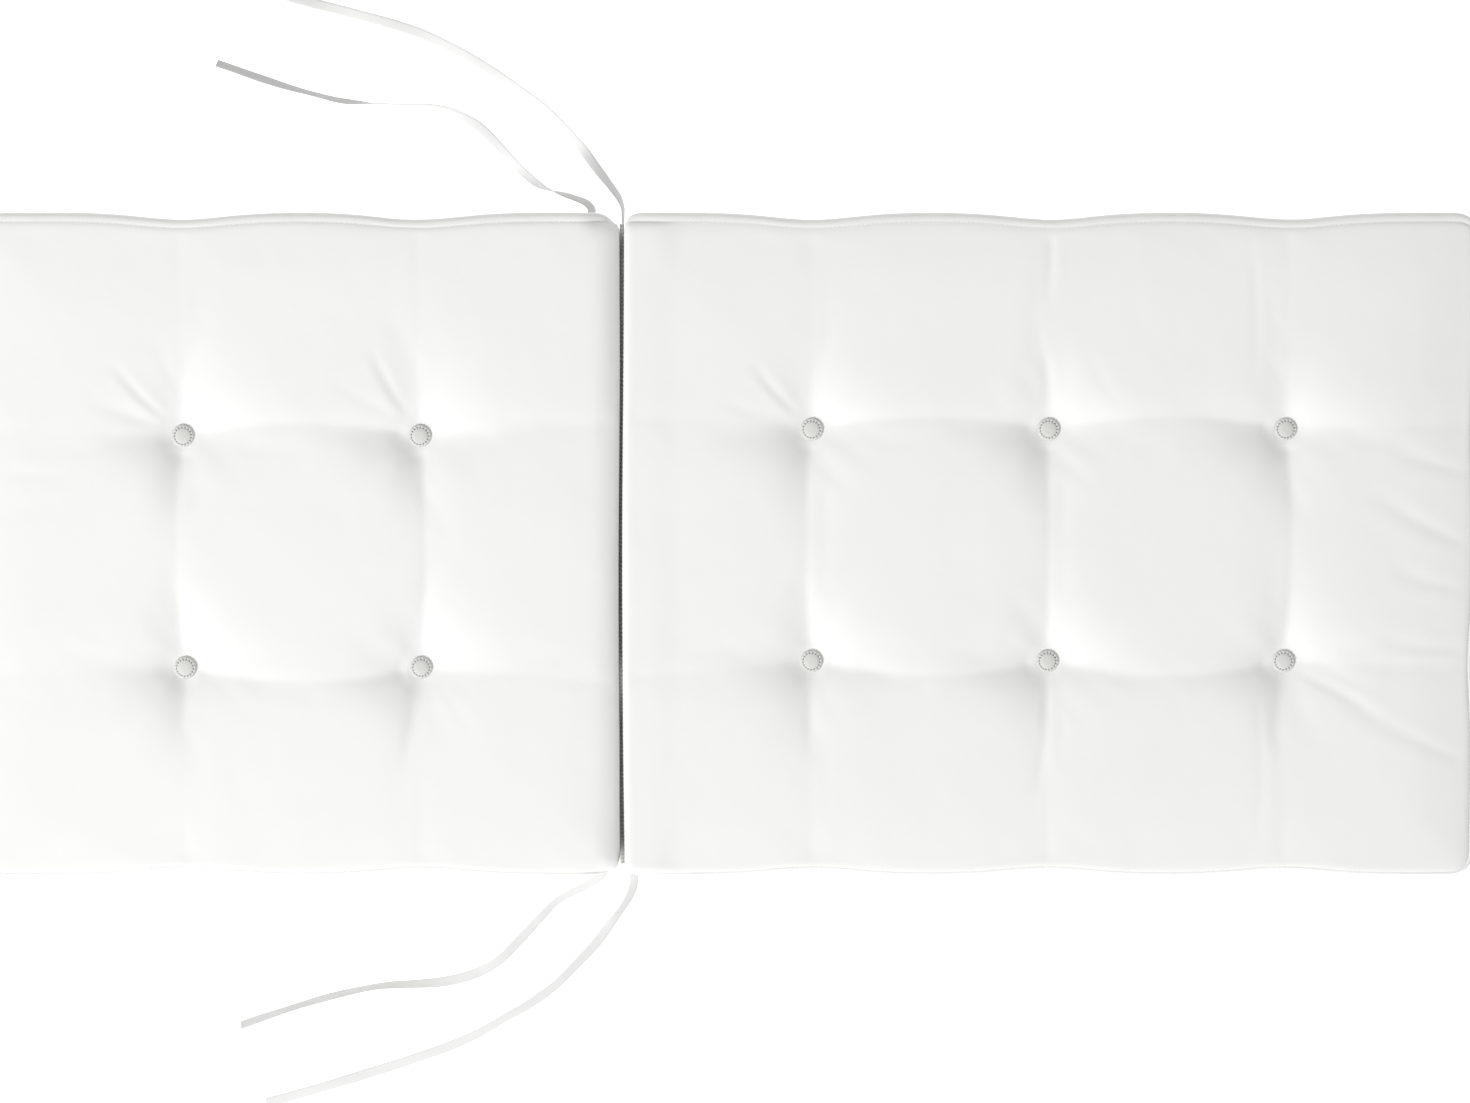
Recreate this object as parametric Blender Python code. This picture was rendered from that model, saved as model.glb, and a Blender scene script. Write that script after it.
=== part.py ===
"""Tufted chair pad: a seat section and a longer back section joined by a sewn fold.

Metres, +Z up. The pad lies flat, its top side up, with the seat towards -X and
the back towards +X. The origin is the middle of the underside.
"""
import math

import bmesh
import bpy
from mathutils import Vector
from mathutils.geometry import interpolate_bezier

# ---- driving dimensions ---------------------------------------------------------
SEAT_LENGTH = 0.485
BACK_LENGTH = 0.645
WIDTH = 0.500
THICKNESS = 0.050
FOLD_GAP = 0.004            # groove between the two sections
END_CORNER_RADIUS = 0.014
FOLD_CORNER_RADIUS = 0.005
CLOTH = 0.0012              # cover cloth with its lining
CLEARANCE = 0.0003          # between pieces that touch
FOLD_CLEARANCE = 0.0005     # from the top face up to the fold's axis

TUFT_PITCH_X = 0.179
TUFT_PITCH_Y = 0.176
SEAT_TUFT_MARGIN = 0.150    # from the fold to the seat's first column
BACK_TUFT_MARGIN = 0.142    # from the fold to the back's first column
SEAT_TUFT_SHIFT = -0.005    # the seat's rows are sewn a little off its middle line
BACK_TUFT_SHIFT = 0.0
SEAT_COLUMNS = 2
BACK_COLUMNS = 3
ROWS = 2

TOP_DIMPLE_DEPTH = 0.016
TOP_DIMPLE_RADIUS = 0.032
UNDER_DIMPLE_DEPTH = 0.007
UNDER_DIMPLE_RADIUS = 0.022
DIMPLE_FLOOR_RADIUS = 0.0095

BUTTON_DIAMETER = 0.015
BUTTON_HEIGHT = 0.0048
BUTTON_RIM = 0.0016         # upright edge below the dome, above and below the pad
PLATE_DIAMETER = 0.0115
PLATE_THICKNESS = 0.0012
UNDER_BUTTON_DIAMETER = 0.013
UNDER_BUTTON_THICKNESS = 0.0030
TWINE_DIAMETER = 0.0016
TWINE_HOLE_DIAMETER = 0.0030

WEB_CLOTH = 0.0006
WEB_DEPTH = 0.022
WEB_DROP = 0.0015           # from the top face down to the web's edges

TIE_WIDTH = 0.008
TIE_SPACING = 2.0           # tube points, in tie widths

ROUND_SEGMENTS = 12
THIN_SEGMENTS = 8           # twines, their holes and the plates
CORNER_SEGMENTS = 5

# ---- places worked out from them --------------------------------------------------
TOTAL_LENGTH = SEAT_LENGTH + FOLD_GAP + BACK_LENGTH
SEAT_FOLD_X = SEAT_LENGTH - TOTAL_LENGTH / 2
BACK_FOLD_X = SEAT_FOLD_X + FOLD_GAP
FOLD_X = (SEAT_FOLD_X + BACK_FOLD_X) / 2
FOLD_AXIS_Z = THICKNESS + FOLD_CLEARANCE
HALF_WIDTH = WIDTH / 2
TIE_HEIGHT = TIE_WIDTH / 2 + 0.0001

# ---- routes of the four ties (x, y) ------------------------------------------------
# Two ties leave each end of the fold. The first stretch of each is its stub, square to
# the pad's side.
TIE_ROUTES = {
    "tie_seat_right": [
        (-0.1030, 0.2504), (-0.1030, 0.2540), (-0.1080, 0.2590), (-0.1200, 0.2635), (-0.1390, 0.2700),
        (-0.1520, 0.2790), (-0.1670, 0.2940), (-0.1810, 0.3090), (-0.1930, 0.3190),
        (-0.2100, 0.3270), (-0.2240, 0.3300), (-0.2420, 0.3315), (-0.2690, 0.3335),
        (-0.2920, 0.3355), (-0.3110, 0.3400), (-0.3350, 0.3465), (-0.3580, 0.3540),
        (-0.3750, 0.3600), (-0.3870, 0.3640),
    ],
    "tie_back_right": [
        (-0.0790, 0.2504), (-0.0790, 0.2540), (-0.0820, 0.2620), (-0.0880, 0.2705), (-0.0990, 0.2845),
        (-0.1110, 0.3005), (-0.1270, 0.3185), (-0.1410, 0.3315), (-0.1580, 0.3440),
        (-0.1810, 0.3595), (-0.2050, 0.3735), (-0.2290, 0.3850), (-0.2520, 0.3930),
        (-0.2760, 0.3995), (-0.2990, 0.4055), (-0.3240, 0.4120), (-0.3450, 0.4180),
        (-0.3610, 0.4230),
    ],
    "tie_seat_left": [
        (-0.0950, -0.2504), (-0.0950, -0.2540), (-0.1010, -0.2605), (-0.1120, -0.2665), (-0.1310, -0.2770),
        (-0.1430, -0.2890), (-0.1550, -0.3020), (-0.1720, -0.3200), (-0.1860, -0.3300),
        (-0.2010, -0.3360), (-0.2200, -0.3400), (-0.2420, -0.3415), (-0.2630, -0.3425),
        (-0.2820, -0.3455), (-0.3070, -0.3515), (-0.3310, -0.3585), (-0.3550, -0.3665),
        (-0.3750, -0.3735),
    ],
    "tie_back_left": [
        (-0.0720, -0.2504), (-0.0720, -0.2540), (-0.0722, -0.2650), (-0.0775, -0.2775),
        (-0.0880, -0.2920), (-0.1020, -0.3110), (-0.1190, -0.3290), (-0.1330, -0.3430),
        (-0.1530, -0.3575), (-0.1740, -0.3695), (-0.1930, -0.3805), (-0.2150, -0.3905),
        (-0.2420, -0.4000), (-0.2660, -0.4080), (-0.2900, -0.4155), (-0.3100, -0.4215),
        (-0.3360, -0.4290), (-0.3560, -0.4345),
    ],
}


# ---- helpers ------------------------------------------------------------------------
def clear_scene():
    for old in list(bpy.data.objects):
        bpy.data.objects.remove(old, do_unlink=True)


def material(name, colour, roughness, metallic=0.0):
    finish = bpy.data.materials.new(name)
    finish.use_nodes = True
    shader = finish.node_tree.nodes["Principled BSDF"]
    shader.inputs["Base Color"].default_value = (*colour, 1.0)
    shader.inputs["Roughness"].default_value = roughness
    shader.inputs["Metallic"].default_value = metallic
    return finish


def cover_cloth():
    return material("cover_cloth", (0.87, 0.87, 0.85), 0.90)


def band_cloth():
    return material("band_cloth", (0.80, 0.80, 0.79), 0.90)


def filling_foam():
    return material("filling_foam", (0.85, 0.83, 0.76), 0.95)


def button_cloth():
    return material("button_cloth", (0.80, 0.79, 0.76), 0.85)


def plate_metal():
    return material("plate_metal", (0.70, 0.70, 0.70), 0.35, 1.0)


def under_button_plastic():
    return material("under_button_plastic", (0.82, 0.82, 0.80), 0.40)


def twine_thread():
    return material("twine_thread", (0.80, 0.79, 0.75), 0.80)


def web_cloth():
    return material("web_cloth", (0.55, 0.55, 0.54), 0.90)


def tie_tape():
    return material("tie_tape", (0.80, 0.80, 0.79), 0.85)


def new_object(name, bm, finish=None, location=(0.0, 0.0, 0.0)):
    bmesh.ops.recalc_face_normals(bm, faces=bm.faces)
    mesh = bpy.data.meshes.new(name)
    bm.to_mesh(mesh)
    bm.free()
    piece = bpy.data.objects.new(name, mesh)
    piece.location = location
    bpy.context.collection.objects.link(piece)
    if finish:
        mesh.materials.append(finish)
    return piece


def as_cutter(piece):
    piece.hide_render = True
    piece.display_type = "WIRE"
    return piece


def boolean(piece, operation, other):
    step = piece.modifiers.new(operation.lower(), "BOOLEAN")
    step.operation = operation
    step.solver = "EXACT"
    step.object = other


def section_outline(x_fold, x_end, half_width, inset):
    """Corner-rounded outline of one section, drawn inwards by inset."""
    side = 1.0 if x_end > x_fold else -1.0
    corners = [
        (x_fold + side * inset, -half_width + inset, FOLD_CORNER_RADIUS - inset),
        (x_end - side * inset, -half_width + inset, END_CORNER_RADIUS - inset),
        (x_end - side * inset, half_width - inset, END_CORNER_RADIUS - inset),
        (x_fold + side * inset, half_width - inset, FOLD_CORNER_RADIUS - inset),
    ]
    middle_x = (x_fold + x_end) / 2
    points = []
    for index, (x, y, radius) in enumerate(corners):
        centre_x = x - math.copysign(radius, x - middle_x)
        centre_y = y - math.copysign(radius, y)
        first_angle = math.pi + index * math.pi / 2
        for step in range(CORNER_SEGMENTS + 1):
            angle = first_angle + step * math.pi / 2 / CORNER_SEGMENTS
            points.append((centre_x + side * radius * math.cos(angle), centre_y + radius * math.sin(angle)))
    return points


def slab_mesh(outline, z_low, z_high):
    bm = bmesh.new()
    face = bm.faces.new([bm.verts.new((x, y, z_low)) for x, y in outline])
    grown = bmesh.ops.extrude_face_region(bm, geom=[face])
    top = [item for item in grown["geom"] if isinstance(item, bmesh.types.BMVert)]
    bmesh.ops.translate(bm, verts=top, vec=(0.0, 0.0, z_high - z_low))
    return bm


def add_cone(bm, x, y, z_low, radius_low, z_high, radius_high, segments=ROUND_SEGMENTS):
    lower = []
    upper = []
    for step in range(segments):
        angle = 2 * math.pi * step / segments
        ray = Vector((math.cos(angle), math.sin(angle), 0.0))
        lower.append(bm.verts.new(Vector((x, y, z_low)) + ray * radius_low))
        upper.append(bm.verts.new(Vector((x, y, z_high)) + ray * radius_high))
    bm.faces.new(list(reversed(lower)))
    bm.faces.new(upper)
    for step in range(segments):
        after = (step + 1) % segments
        bm.faces.new((lower[step], lower[after], upper[after], upper[step]))


def dimple_cones(name, tufts, upward, drop, z_reach):
    """Cones that follow the dimples' slope, sunk by drop below the face's own dimple.

    upward is True for the dimples of the top face. z_reach is the height where a
    cone's wide end stops.
    """
    depth = TOP_DIMPLE_DEPTH if upward else UNDER_DIMPLE_DEPTH
    radius = TOP_DIMPLE_RADIUS if upward else UNDER_DIMPLE_RADIUS
    slope = (radius - DIMPLE_FLOOR_RADIUS) / depth
    floor_z = THICKNESS - depth - drop if upward else depth + drop
    reach_radius = DIMPLE_FLOOR_RADIUS + slope * abs(z_reach - floor_z)
    bm = bmesh.new()
    for x, y in tufts:
        if upward:
            add_cone(bm, x, y, floor_z, DIMPLE_FLOOR_RADIUS, z_reach, reach_radius)
        else:
            add_cone(bm, x, y, z_reach, reach_radius, floor_z, DIMPLE_FLOOR_RADIUS)
    return as_cutter(new_object(name, bm))


def twine_holes(name, tufts):
    bm = bmesh.new()
    radius = TWINE_HOLE_DIAMETER / 2
    for x, y in tufts:
        add_cone(bm, x, y, -CLOTH, radius, THICKNESS + CLOTH, radius, THIN_SEGMENTS)
    return as_cutter(new_object(name, bm))


def shade_round(piece):
    piece.data.shade_smooth()
    piece.data.set_sharp_from_angle(angle=math.radians(35))


# ---- the sections ---------------------------------------------------------------------
def tuft_places(x_fold, side, margin, columns, shift):
    places = []
    for column in range(columns):
        x = x_fold + side * (margin + column * TUFT_PITCH_X)
        for row in range(ROWS):
            places.append((x, shift + (row - (ROWS - 1) / 2) * TUFT_PITCH_Y))
    return places


def make_panel(name, section, outline, tufts, upward, finish):
    """Cloth panel with a cup pressed in at each tuft."""
    if upward:
        z_low, z_high = THICKNESS - CLOTH, THICKNESS
        joined_z, opened_z = THICKNESS - CLOTH / 2, THICKNESS + CLOTH
    else:
        z_low, z_high = 0.0, CLOTH
        joined_z, opened_z = CLOTH / 2, -CLOTH
    panel = new_object(name, slab_mesh(outline, z_low, z_high), finish)
    boolean(panel, "UNION", dimple_cones(name + "_cups", tufts, upward, CLOTH, joined_z))
    boolean(panel, "DIFFERENCE", dimple_cones(name + "_dishes", tufts, upward, 0.0, opened_z))
    boolean(panel, "DIFFERENCE", bpy.data.objects[section + "_twine_holes"])
    return panel


def make_side_band(name, outer, inner, finish):
    """Standing strip of cloth around a section, between its two panels."""
    bm = bmesh.new()
    z_low = CLOTH + CLEARANCE
    z_high = THICKNESS - CLOTH - CLEARANCE
    rings = []
    for outline, z in ((outer, z_low), (outer, z_high), (inner, z_high), (inner, z_low)):
        rings.append([bm.verts.new((x, y, z)) for x, y in outline])
    count = len(outer)
    for turn in range(4):
        here = rings[turn]
        there = rings[(turn + 1) % 4]
        for step in range(count):
            after = (step + 1) % count
            bm.faces.new((here[step], here[after], there[after], there[step]))
    return new_object(name, bm, finish)


def make_filling(name, section, outline, tufts, finish):
    """Foam block, hollowed for the cups of both panels and pierced for the twines."""
    z_low = CLOTH + CLEARANCE
    z_high = THICKNESS - CLOTH - CLEARANCE
    filling = new_object(name, slab_mesh(outline, z_low, z_high), finish)
    drop = CLOTH + CLEARANCE
    boolean(filling, "DIFFERENCE", dimple_cones(name + "_top_hollows", tufts, True, drop, THICKNESS))
    boolean(filling, "DIFFERENCE", dimple_cones(name + "_under_hollows", tufts, False, drop, 0.0))
    boolean(filling, "DIFFERENCE", bpy.data.objects[section + "_twine_holes"])
    return filling


def make_section(section, x_fold, x_end, tufts, parent, finishes):
    outer = section_outline(x_fold, x_end, HALF_WIDTH, 0.0)
    band_inner = section_outline(x_fold, x_end, HALF_WIDTH, CLOTH)
    foam = section_outline(x_fold, x_end, HALF_WIDTH, CLOTH + CLEARANCE)
    holes = twine_holes(section + "_twine_holes", tufts)
    pieces = [
        make_panel(section + "_top_panel", section, outer, tufts, True, finishes["cover"]),
        make_panel(section + "_bottom_panel", section, outer, tufts, False, finishes["cover"]),
        make_side_band(section + "_side_band", outer, band_inner, finishes["band"]),
        make_filling(section + "_filling", section, foam, tufts, finishes["foam"]),
    ]
    for piece in pieces:
        hang_from(piece, parent)
    hang_from(holes, parent)


# ---- the tufts ------------------------------------------------------------------------
def turned_mesh(profile, segments):
    """Closed round body from a profile of (radius, z), foot to top, on the axis at both ends."""
    bm = bmesh.new()
    foot = bm.verts.new((0.0, 0.0, profile[0][1]))
    crown = bm.verts.new((0.0, 0.0, profile[-1][1]))
    rings = []
    for radius, z in profile[1:-1]:
        ring = []
        for step in range(segments):
            angle = 2 * math.pi * step / segments
            ring.append(bm.verts.new((radius * math.cos(angle), radius * math.sin(angle), z)))
        rings.append(ring)
    for step in range(segments):
        after = (step + 1) % segments
        bm.faces.new((foot, rings[0][after], rings[0][step]))
        bm.faces.new((crown, rings[-1][step], rings[-1][after]))
        for low, high in zip(rings, rings[1:]):
            bm.faces.new((low[step], low[after], high[after], high[step]))
    return bm


def dome_profile(radius, height, rim):
    """Flat foot, short upright rim, then a quarter ellipse up to the crown."""
    points = [(0.0, 0.0), (radius * 0.86, 0.0), (radius, rim * 0.5), (radius, rim)]
    for step in (1, 2):
        angle = step * math.pi / 6
        points.append((radius * math.cos(angle), rim + (height - rim) * math.sin(angle)))
    points.append((0.0, height))
    return points


def plain_disc_profile(radius, thickness):
    return [(0.0, 0.0), (radius, 0.0), (radius, thickness), (0.0, thickness)]


def make_tuft(section, number, x, y, parent, finishes):
    """Covered button on its plate above, plain button below, twine between them."""
    plate_z = THICKNESS - TOP_DIMPLE_DEPTH + CLEARANCE
    cap_z = plate_z + PLATE_THICKNESS + CLEARANCE
    under_z = UNDER_DIMPLE_DEPTH - CLEARANCE - UNDER_BUTTON_THICKNESS
    twine_z = UNDER_DIMPLE_DEPTH
    twine_length = THICKNESS - TOP_DIMPLE_DEPTH - UNDER_DIMPLE_DEPTH
    under_profile = dome_profile(UNDER_BUTTON_DIAMETER / 2, UNDER_BUTTON_THICKNESS, BUTTON_RIM)
    under_profile = [(r, UNDER_BUTTON_THICKNESS - z) for r, z in reversed(under_profile)]
    button_profile = dome_profile(BUTTON_DIAMETER / 2, BUTTON_HEIGHT, BUTTON_RIM)
    pieces = {
        "button": (button_profile, cap_z, ROUND_SEGMENTS),
        "button_plate": (plain_disc_profile(PLATE_DIAMETER / 2, PLATE_THICKNESS), plate_z, THIN_SEGMENTS),
        "under_button": (under_profile, under_z, ROUND_SEGMENTS),
        "twine": (plain_disc_profile(TWINE_DIAMETER / 2, twine_length), twine_z, THIN_SEGMENTS),
    }
    for kind, (profile, z, segments) in pieces.items():
        name = f"{section}_{kind}_{number}"
        piece = new_object(name, turned_mesh(profile, segments), finishes[kind], (x, y, z))
        shade_round(piece)
        hang_from(piece, parent)


# ---- the fold and the ties --------------------------------------------------------------
def make_fold_web(finish):
    """Pleat of cloth that hangs in the groove and joins the top edges of both sections."""
    half_outer = FOLD_GAP / 2 - CLEARANCE
    half_inner = half_outer - WEB_CLOTH
    z_high = THICKNESS - WEB_DROP
    z_low = z_high - WEB_DEPTH
    outline = [
        (-half_outer, z_high),
        (-half_outer, z_low),
        (half_outer, z_low),
        (half_outer, z_high),
        (half_inner, z_high),
        (half_inner, z_low + WEB_CLOTH),
        (-half_inner, z_low + WEB_CLOTH),
        (-half_inner, z_high),
    ]
    bm = bmesh.new()
    face = bm.faces.new([bm.verts.new((x, -HALF_WIDTH, z)) for x, z in outline])
    grown = bmesh.ops.extrude_face_region(bm, geom=[face])
    far = [item for item in grown["geom"] if isinstance(item, bmesh.types.BMVert)]
    bmesh.ops.translate(bm, verts=far, vec=(0.0, WIDTH, 0.0))
    return new_object("fold_web", bm, finish, (FOLD_X, 0.0, 0.0))


def smooth_route(points):
    """The stub's foot, then points of a smooth curve on from it, TIE_SPACING tie widths apart."""
    knots = [Vector((x, y, TIE_HEIGHT)) for x, y in points]
    dense = [knots[1]]
    for index in range(1, len(knots) - 1):
        before = knots[max(index - 1, 0)]
        start = knots[index]
        end = knots[index + 1]
        beyond = knots[min(index + 2, len(knots) - 1)]
        handle_out = start + (end - before) / 6
        handle_in = end - (beyond - start) / 6
        dense.extend(interpolate_bezier(start, handle_out, handle_in, end, 12)[1:])
    length = sum((b - a).length for a, b in zip(dense, dense[1:]))
    count = max(2, round(length / (TIE_SPACING * TIE_WIDTH)))
    even = [dense[0]]
    travelled = 0.0
    for a, b in zip(dense, dense[1:]):
        stretch = (b - a).length
        while len(even) < count and travelled + stretch >= length * len(even) / count:
            even.append(a.lerp(b, (length * len(even) / count - travelled) / stretch))
        travelled += stretch
    return [knots[0], *even, dense[-1]]


def make_tie(name, points, finish):
    """Sewn tape, as a plain tube of the tape's width along its route."""
    curve = bpy.data.curves.new(name, "CURVE")
    curve.dimensions = "3D"
    curve.bevel_depth = TIE_WIDTH / 2
    curve.bevel_resolution = 2
    curve.use_fill_caps = True
    route = smooth_route(points)
    spline = curve.splines.new("POLY")
    spline.points.add(len(route) - 1)
    for place, point in zip(spline.points, route):
        place.co = (*point, 1.0)
    curve.materials.append(finish)
    tie = bpy.data.objects.new(name, curve)
    bpy.context.collection.objects.link(tie)
    return tie


# ---- assembly -----------------------------------------------------------------------------
def make_empty(name, location):
    empty = bpy.data.objects.new(name, None)
    empty.location = location
    bpy.context.collection.objects.link(empty)
    return empty


def hang_from(piece, parent):
    """Parent a piece and keep it where it stands."""
    piece.parent = parent
    piece.location = piece.location - parent.location


def main():
    clear_scene()
    finishes = {
        "cover": cover_cloth(),
        "band": band_cloth(),
        "foam": filling_foam(),
        "button": button_cloth(),
        "button_plate": plate_metal(),
        "under_button": under_button_plastic(),
        "twine": twine_thread(),
    }
    seat = make_empty("seat_section", (0.0, 0.0, 0.0))
    back = make_empty("back_section", (FOLD_X, 0.0, FOLD_AXIS_Z))
    seat_tufts = tuft_places(SEAT_FOLD_X, -1.0, SEAT_TUFT_MARGIN, SEAT_COLUMNS, SEAT_TUFT_SHIFT)
    back_tufts = tuft_places(BACK_FOLD_X, 1.0, BACK_TUFT_MARGIN, BACK_COLUMNS, BACK_TUFT_SHIFT)
    sections = [
        ("seat", SEAT_FOLD_X, -TOTAL_LENGTH / 2, seat_tufts, seat),
        ("back", BACK_FOLD_X, TOTAL_LENGTH / 2, back_tufts, back),
    ]
    for section, x_fold, x_end, tufts, parent in sections:
        make_section(section, x_fold, x_end, tufts, parent, finishes)
        for number, (x, y) in enumerate(tufts, start=1):
            make_tuft(section, number, x, y, parent, finishes)
    hang_from(make_fold_web(web_cloth()), seat)
    tape = tie_tape()
    for name, points in TIE_ROUTES.items():
        hang_from(make_tie(name, points, tape), seat)


main()
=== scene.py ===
import math

import bmesh
import bpy
import numpy as np
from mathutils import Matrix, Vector, noise


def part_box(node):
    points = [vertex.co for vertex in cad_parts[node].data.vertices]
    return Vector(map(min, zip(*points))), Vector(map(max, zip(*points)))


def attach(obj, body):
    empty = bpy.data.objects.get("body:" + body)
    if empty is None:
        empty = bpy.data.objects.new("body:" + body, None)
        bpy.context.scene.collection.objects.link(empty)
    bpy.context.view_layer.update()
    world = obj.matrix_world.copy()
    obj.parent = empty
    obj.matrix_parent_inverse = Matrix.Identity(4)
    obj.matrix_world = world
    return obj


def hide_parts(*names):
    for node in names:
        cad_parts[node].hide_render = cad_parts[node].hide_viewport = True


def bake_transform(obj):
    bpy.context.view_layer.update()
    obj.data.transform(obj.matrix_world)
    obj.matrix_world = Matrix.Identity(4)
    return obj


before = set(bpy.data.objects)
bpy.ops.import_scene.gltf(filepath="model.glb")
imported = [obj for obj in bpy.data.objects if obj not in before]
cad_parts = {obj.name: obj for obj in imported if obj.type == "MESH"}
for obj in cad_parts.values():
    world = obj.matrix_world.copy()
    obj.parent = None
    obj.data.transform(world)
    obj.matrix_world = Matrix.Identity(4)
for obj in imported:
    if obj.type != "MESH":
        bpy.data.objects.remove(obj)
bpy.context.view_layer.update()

# ---- places and sizes read from the frame ------------------------------------------------
SEAT_LOW, SEAT_HIGH = (Vector(corner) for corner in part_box("seat_top_panel"))
BACK_LOW, BACK_HIGH = (Vector(corner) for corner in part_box("back_top_panel"))
PAD_TOP = BACK_HIGH.z
HALF_WIDTH = BACK_HIGH.y
FOLD_X = (SEAT_HIGH.x + BACK_LOW.x) / 2


def middle(node):
    low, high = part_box(node)
    return (Vector(low) + Vector(high)) / 2


# fold_corner, fold_roll and fold_seam shape a section beside the fold, droop is its far end's fall,
# trim is how far its right-hand edge is drawn in, at the fold and at the far end, and band_free
# is where the band starts and ends letting go of the fold's straight wall; lean is how much
# further its dimples reach towards the back's right-hand corner
SECTIONS = {
    "seat": {
        "fold": SEAT_HIGH.x, "side": -1.0, "end": SEAT_LOW.x, "tufts": 4,
        "fold_corner": 0.0085, "fold_roll": 0.022, "fold_seam": 0.0374, "droop": -0.0012,
        "trim": (0.0, 0.0015), "band_free": (0.002, 0.013), "lean": 0.24,
    },
    "back": {
        "fold": BACK_LOW.x, "side": 1.0, "end": BACK_HIGH.x, "tufts": 6,
        "fold_corner": 0.0050, "fold_roll": 0.0018, "fold_seam": 0.0452, "droop": 0.0055,
        "trim": (0.0035, 0.0), "band_free": (0.0005, 0.0065), "lean": 0.06,
    },
}
for section_name, section in SECTIONS.items():
    section["name"] = section_name
    section["length"] = abs(section["end"] - section["fold"])
    section["buttons"] = [
        middle(f"{section_name}_button_{number}") for number in range(1, section["tufts"] + 1)
    ]

# ---- sizes of the sewn cover, in metres ----------------------------------------------------
END_CORNER = 0.014              # corner radius in plan, at the free ends
CLOTH = 0.0010
TOP_SEAM_Z = 0.0460
UNDER_SEAM_Z = 0.0030
SHOULDER_Z = 0.0466
CROWN = 0.0032
CROWN_REACH = 0.045
EDGE_ROLL = 0.0022
DROOP_REACH = 0.110             # the free ends fall away over this length
UNDER_ROLL = 0.010
SCALLOP = 0.0048                # how far the long edges are pulled in beside a tuft
SCALLOP_REACH = 0.045
END_SCALLOP = 0.0030
RIGHT_INSET = 0.0056            # the seams lie this far in from the right, left and end faces
LEFT_INSET = 0.0012
END_INSET = 0.0030
BAND_BULGE = 0.0014             # and the band stands this far out past those faces
# The band from seam to seam: share of its reach outwards, height, and share of the way down
BAND_PROFILE = (
    (0.00, 0.0460, 0.00), (0.23, 0.0464, 0.03), (0.58, 0.0460, 0.08), (0.88, 0.0444, 0.16),
    (1.00, 0.0388, 0.29), (0.94, 0.0270, 0.53), (0.76, 0.0140, 0.78), (0.52, 0.0060, 0.92),
    (0.26, 0.0032, 0.97), (0.00, 0.0030, 1.00),
)
WALL_LEAN = 0.0005              # the soft walls lean this far towards each other in the fold
FOLD_DRIFT = 0.0007
FOLD_FADE = 0.024               # a section takes its height beside the fold over this length
BUTTON_SEAT = 0.0066            # flat foot of a dimple, radius
DIMPLE_REACH = 0.0165
DIMPLE_STAR = 0.38              # how much further a dimple runs along its row and column
UNDER_DIMPLE_REACH = 0.010
UNDER_DIMPLE_RISE = 0.0066
VALLEY_DEPTH = 0.0034
VALLEY_REACH = 0.0105
EDGE_VALLEY_DEPTH = 0.0011
GRID = 0.0056
SEAM_STRIP = 0.0022
SEAM_SINK = 0.0008              # the seam lies this far below the roll of the panel
BAND_ROWS = len(BAND_PROFILE) - 1
BAND_CUT = 0.053                # width of the band before it is sewn

# ---- ties: route on the floor (x, y) and twist along it (share of length, degrees) -----------
TIE_WIDTH = 0.008
TIE_THICKNESS = 0.0009
TIE_ROUTES = {
    "tie_seat_right": [
        (-0.1030, 0.2504), (-0.1030, 0.2540), (-0.1080, 0.2590), (-0.1200, 0.2635), (-0.1390, 0.2700),
        (-0.1520, 0.2790), (-0.1670, 0.2940), (-0.1810, 0.3090), (-0.1930, 0.3190),
        (-0.2100, 0.3270), (-0.2240, 0.3300), (-0.2420, 0.3315), (-0.2690, 0.3335),
        (-0.2920, 0.3355), (-0.3110, 0.3400), (-0.3350, 0.3465), (-0.3580, 0.3540),
        (-0.3750, 0.3600), (-0.3870, 0.3640),
    ],
    "tie_back_right": [
        (-0.0790, 0.2504), (-0.0790, 0.2540), (-0.0820, 0.2620), (-0.0880, 0.2705), (-0.0990, 0.2845),
        (-0.1110, 0.3005), (-0.1270, 0.3185), (-0.1410, 0.3315), (-0.1580, 0.3440),
        (-0.1810, 0.3595), (-0.2050, 0.3735), (-0.2290, 0.3850), (-0.2520, 0.3930),
        (-0.2760, 0.3995), (-0.2990, 0.4055), (-0.3240, 0.4120), (-0.3450, 0.4180),
        (-0.3610, 0.4230),
    ],
    "tie_seat_left": [
        (-0.0950, -0.2504), (-0.0950, -0.2540), (-0.1010, -0.2605), (-0.1120, -0.2665), (-0.1310, -0.2770),
        (-0.1430, -0.2890), (-0.1550, -0.3020), (-0.1720, -0.3200), (-0.1860, -0.3300),
        (-0.2010, -0.3360), (-0.2200, -0.3400), (-0.2420, -0.3415), (-0.2630, -0.3425),
        (-0.2820, -0.3455), (-0.3070, -0.3515), (-0.3310, -0.3585), (-0.3550, -0.3665),
        (-0.3750, -0.3735),
    ],
    "tie_back_left": [
        (-0.0720, -0.2504), (-0.0720, -0.2540), (-0.0722, -0.2650), (-0.0775, -0.2775),
        (-0.0880, -0.2920), (-0.1020, -0.3110), (-0.1190, -0.3290), (-0.1330, -0.3430),
        (-0.1530, -0.3575), (-0.1740, -0.3695), (-0.1930, -0.3805), (-0.2150, -0.3905),
        (-0.2420, -0.4000), (-0.2660, -0.4080), (-0.2900, -0.4155), (-0.3100, -0.4215),
        (-0.3360, -0.4290), (-0.3560, -0.4345),
    ],
}
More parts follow.
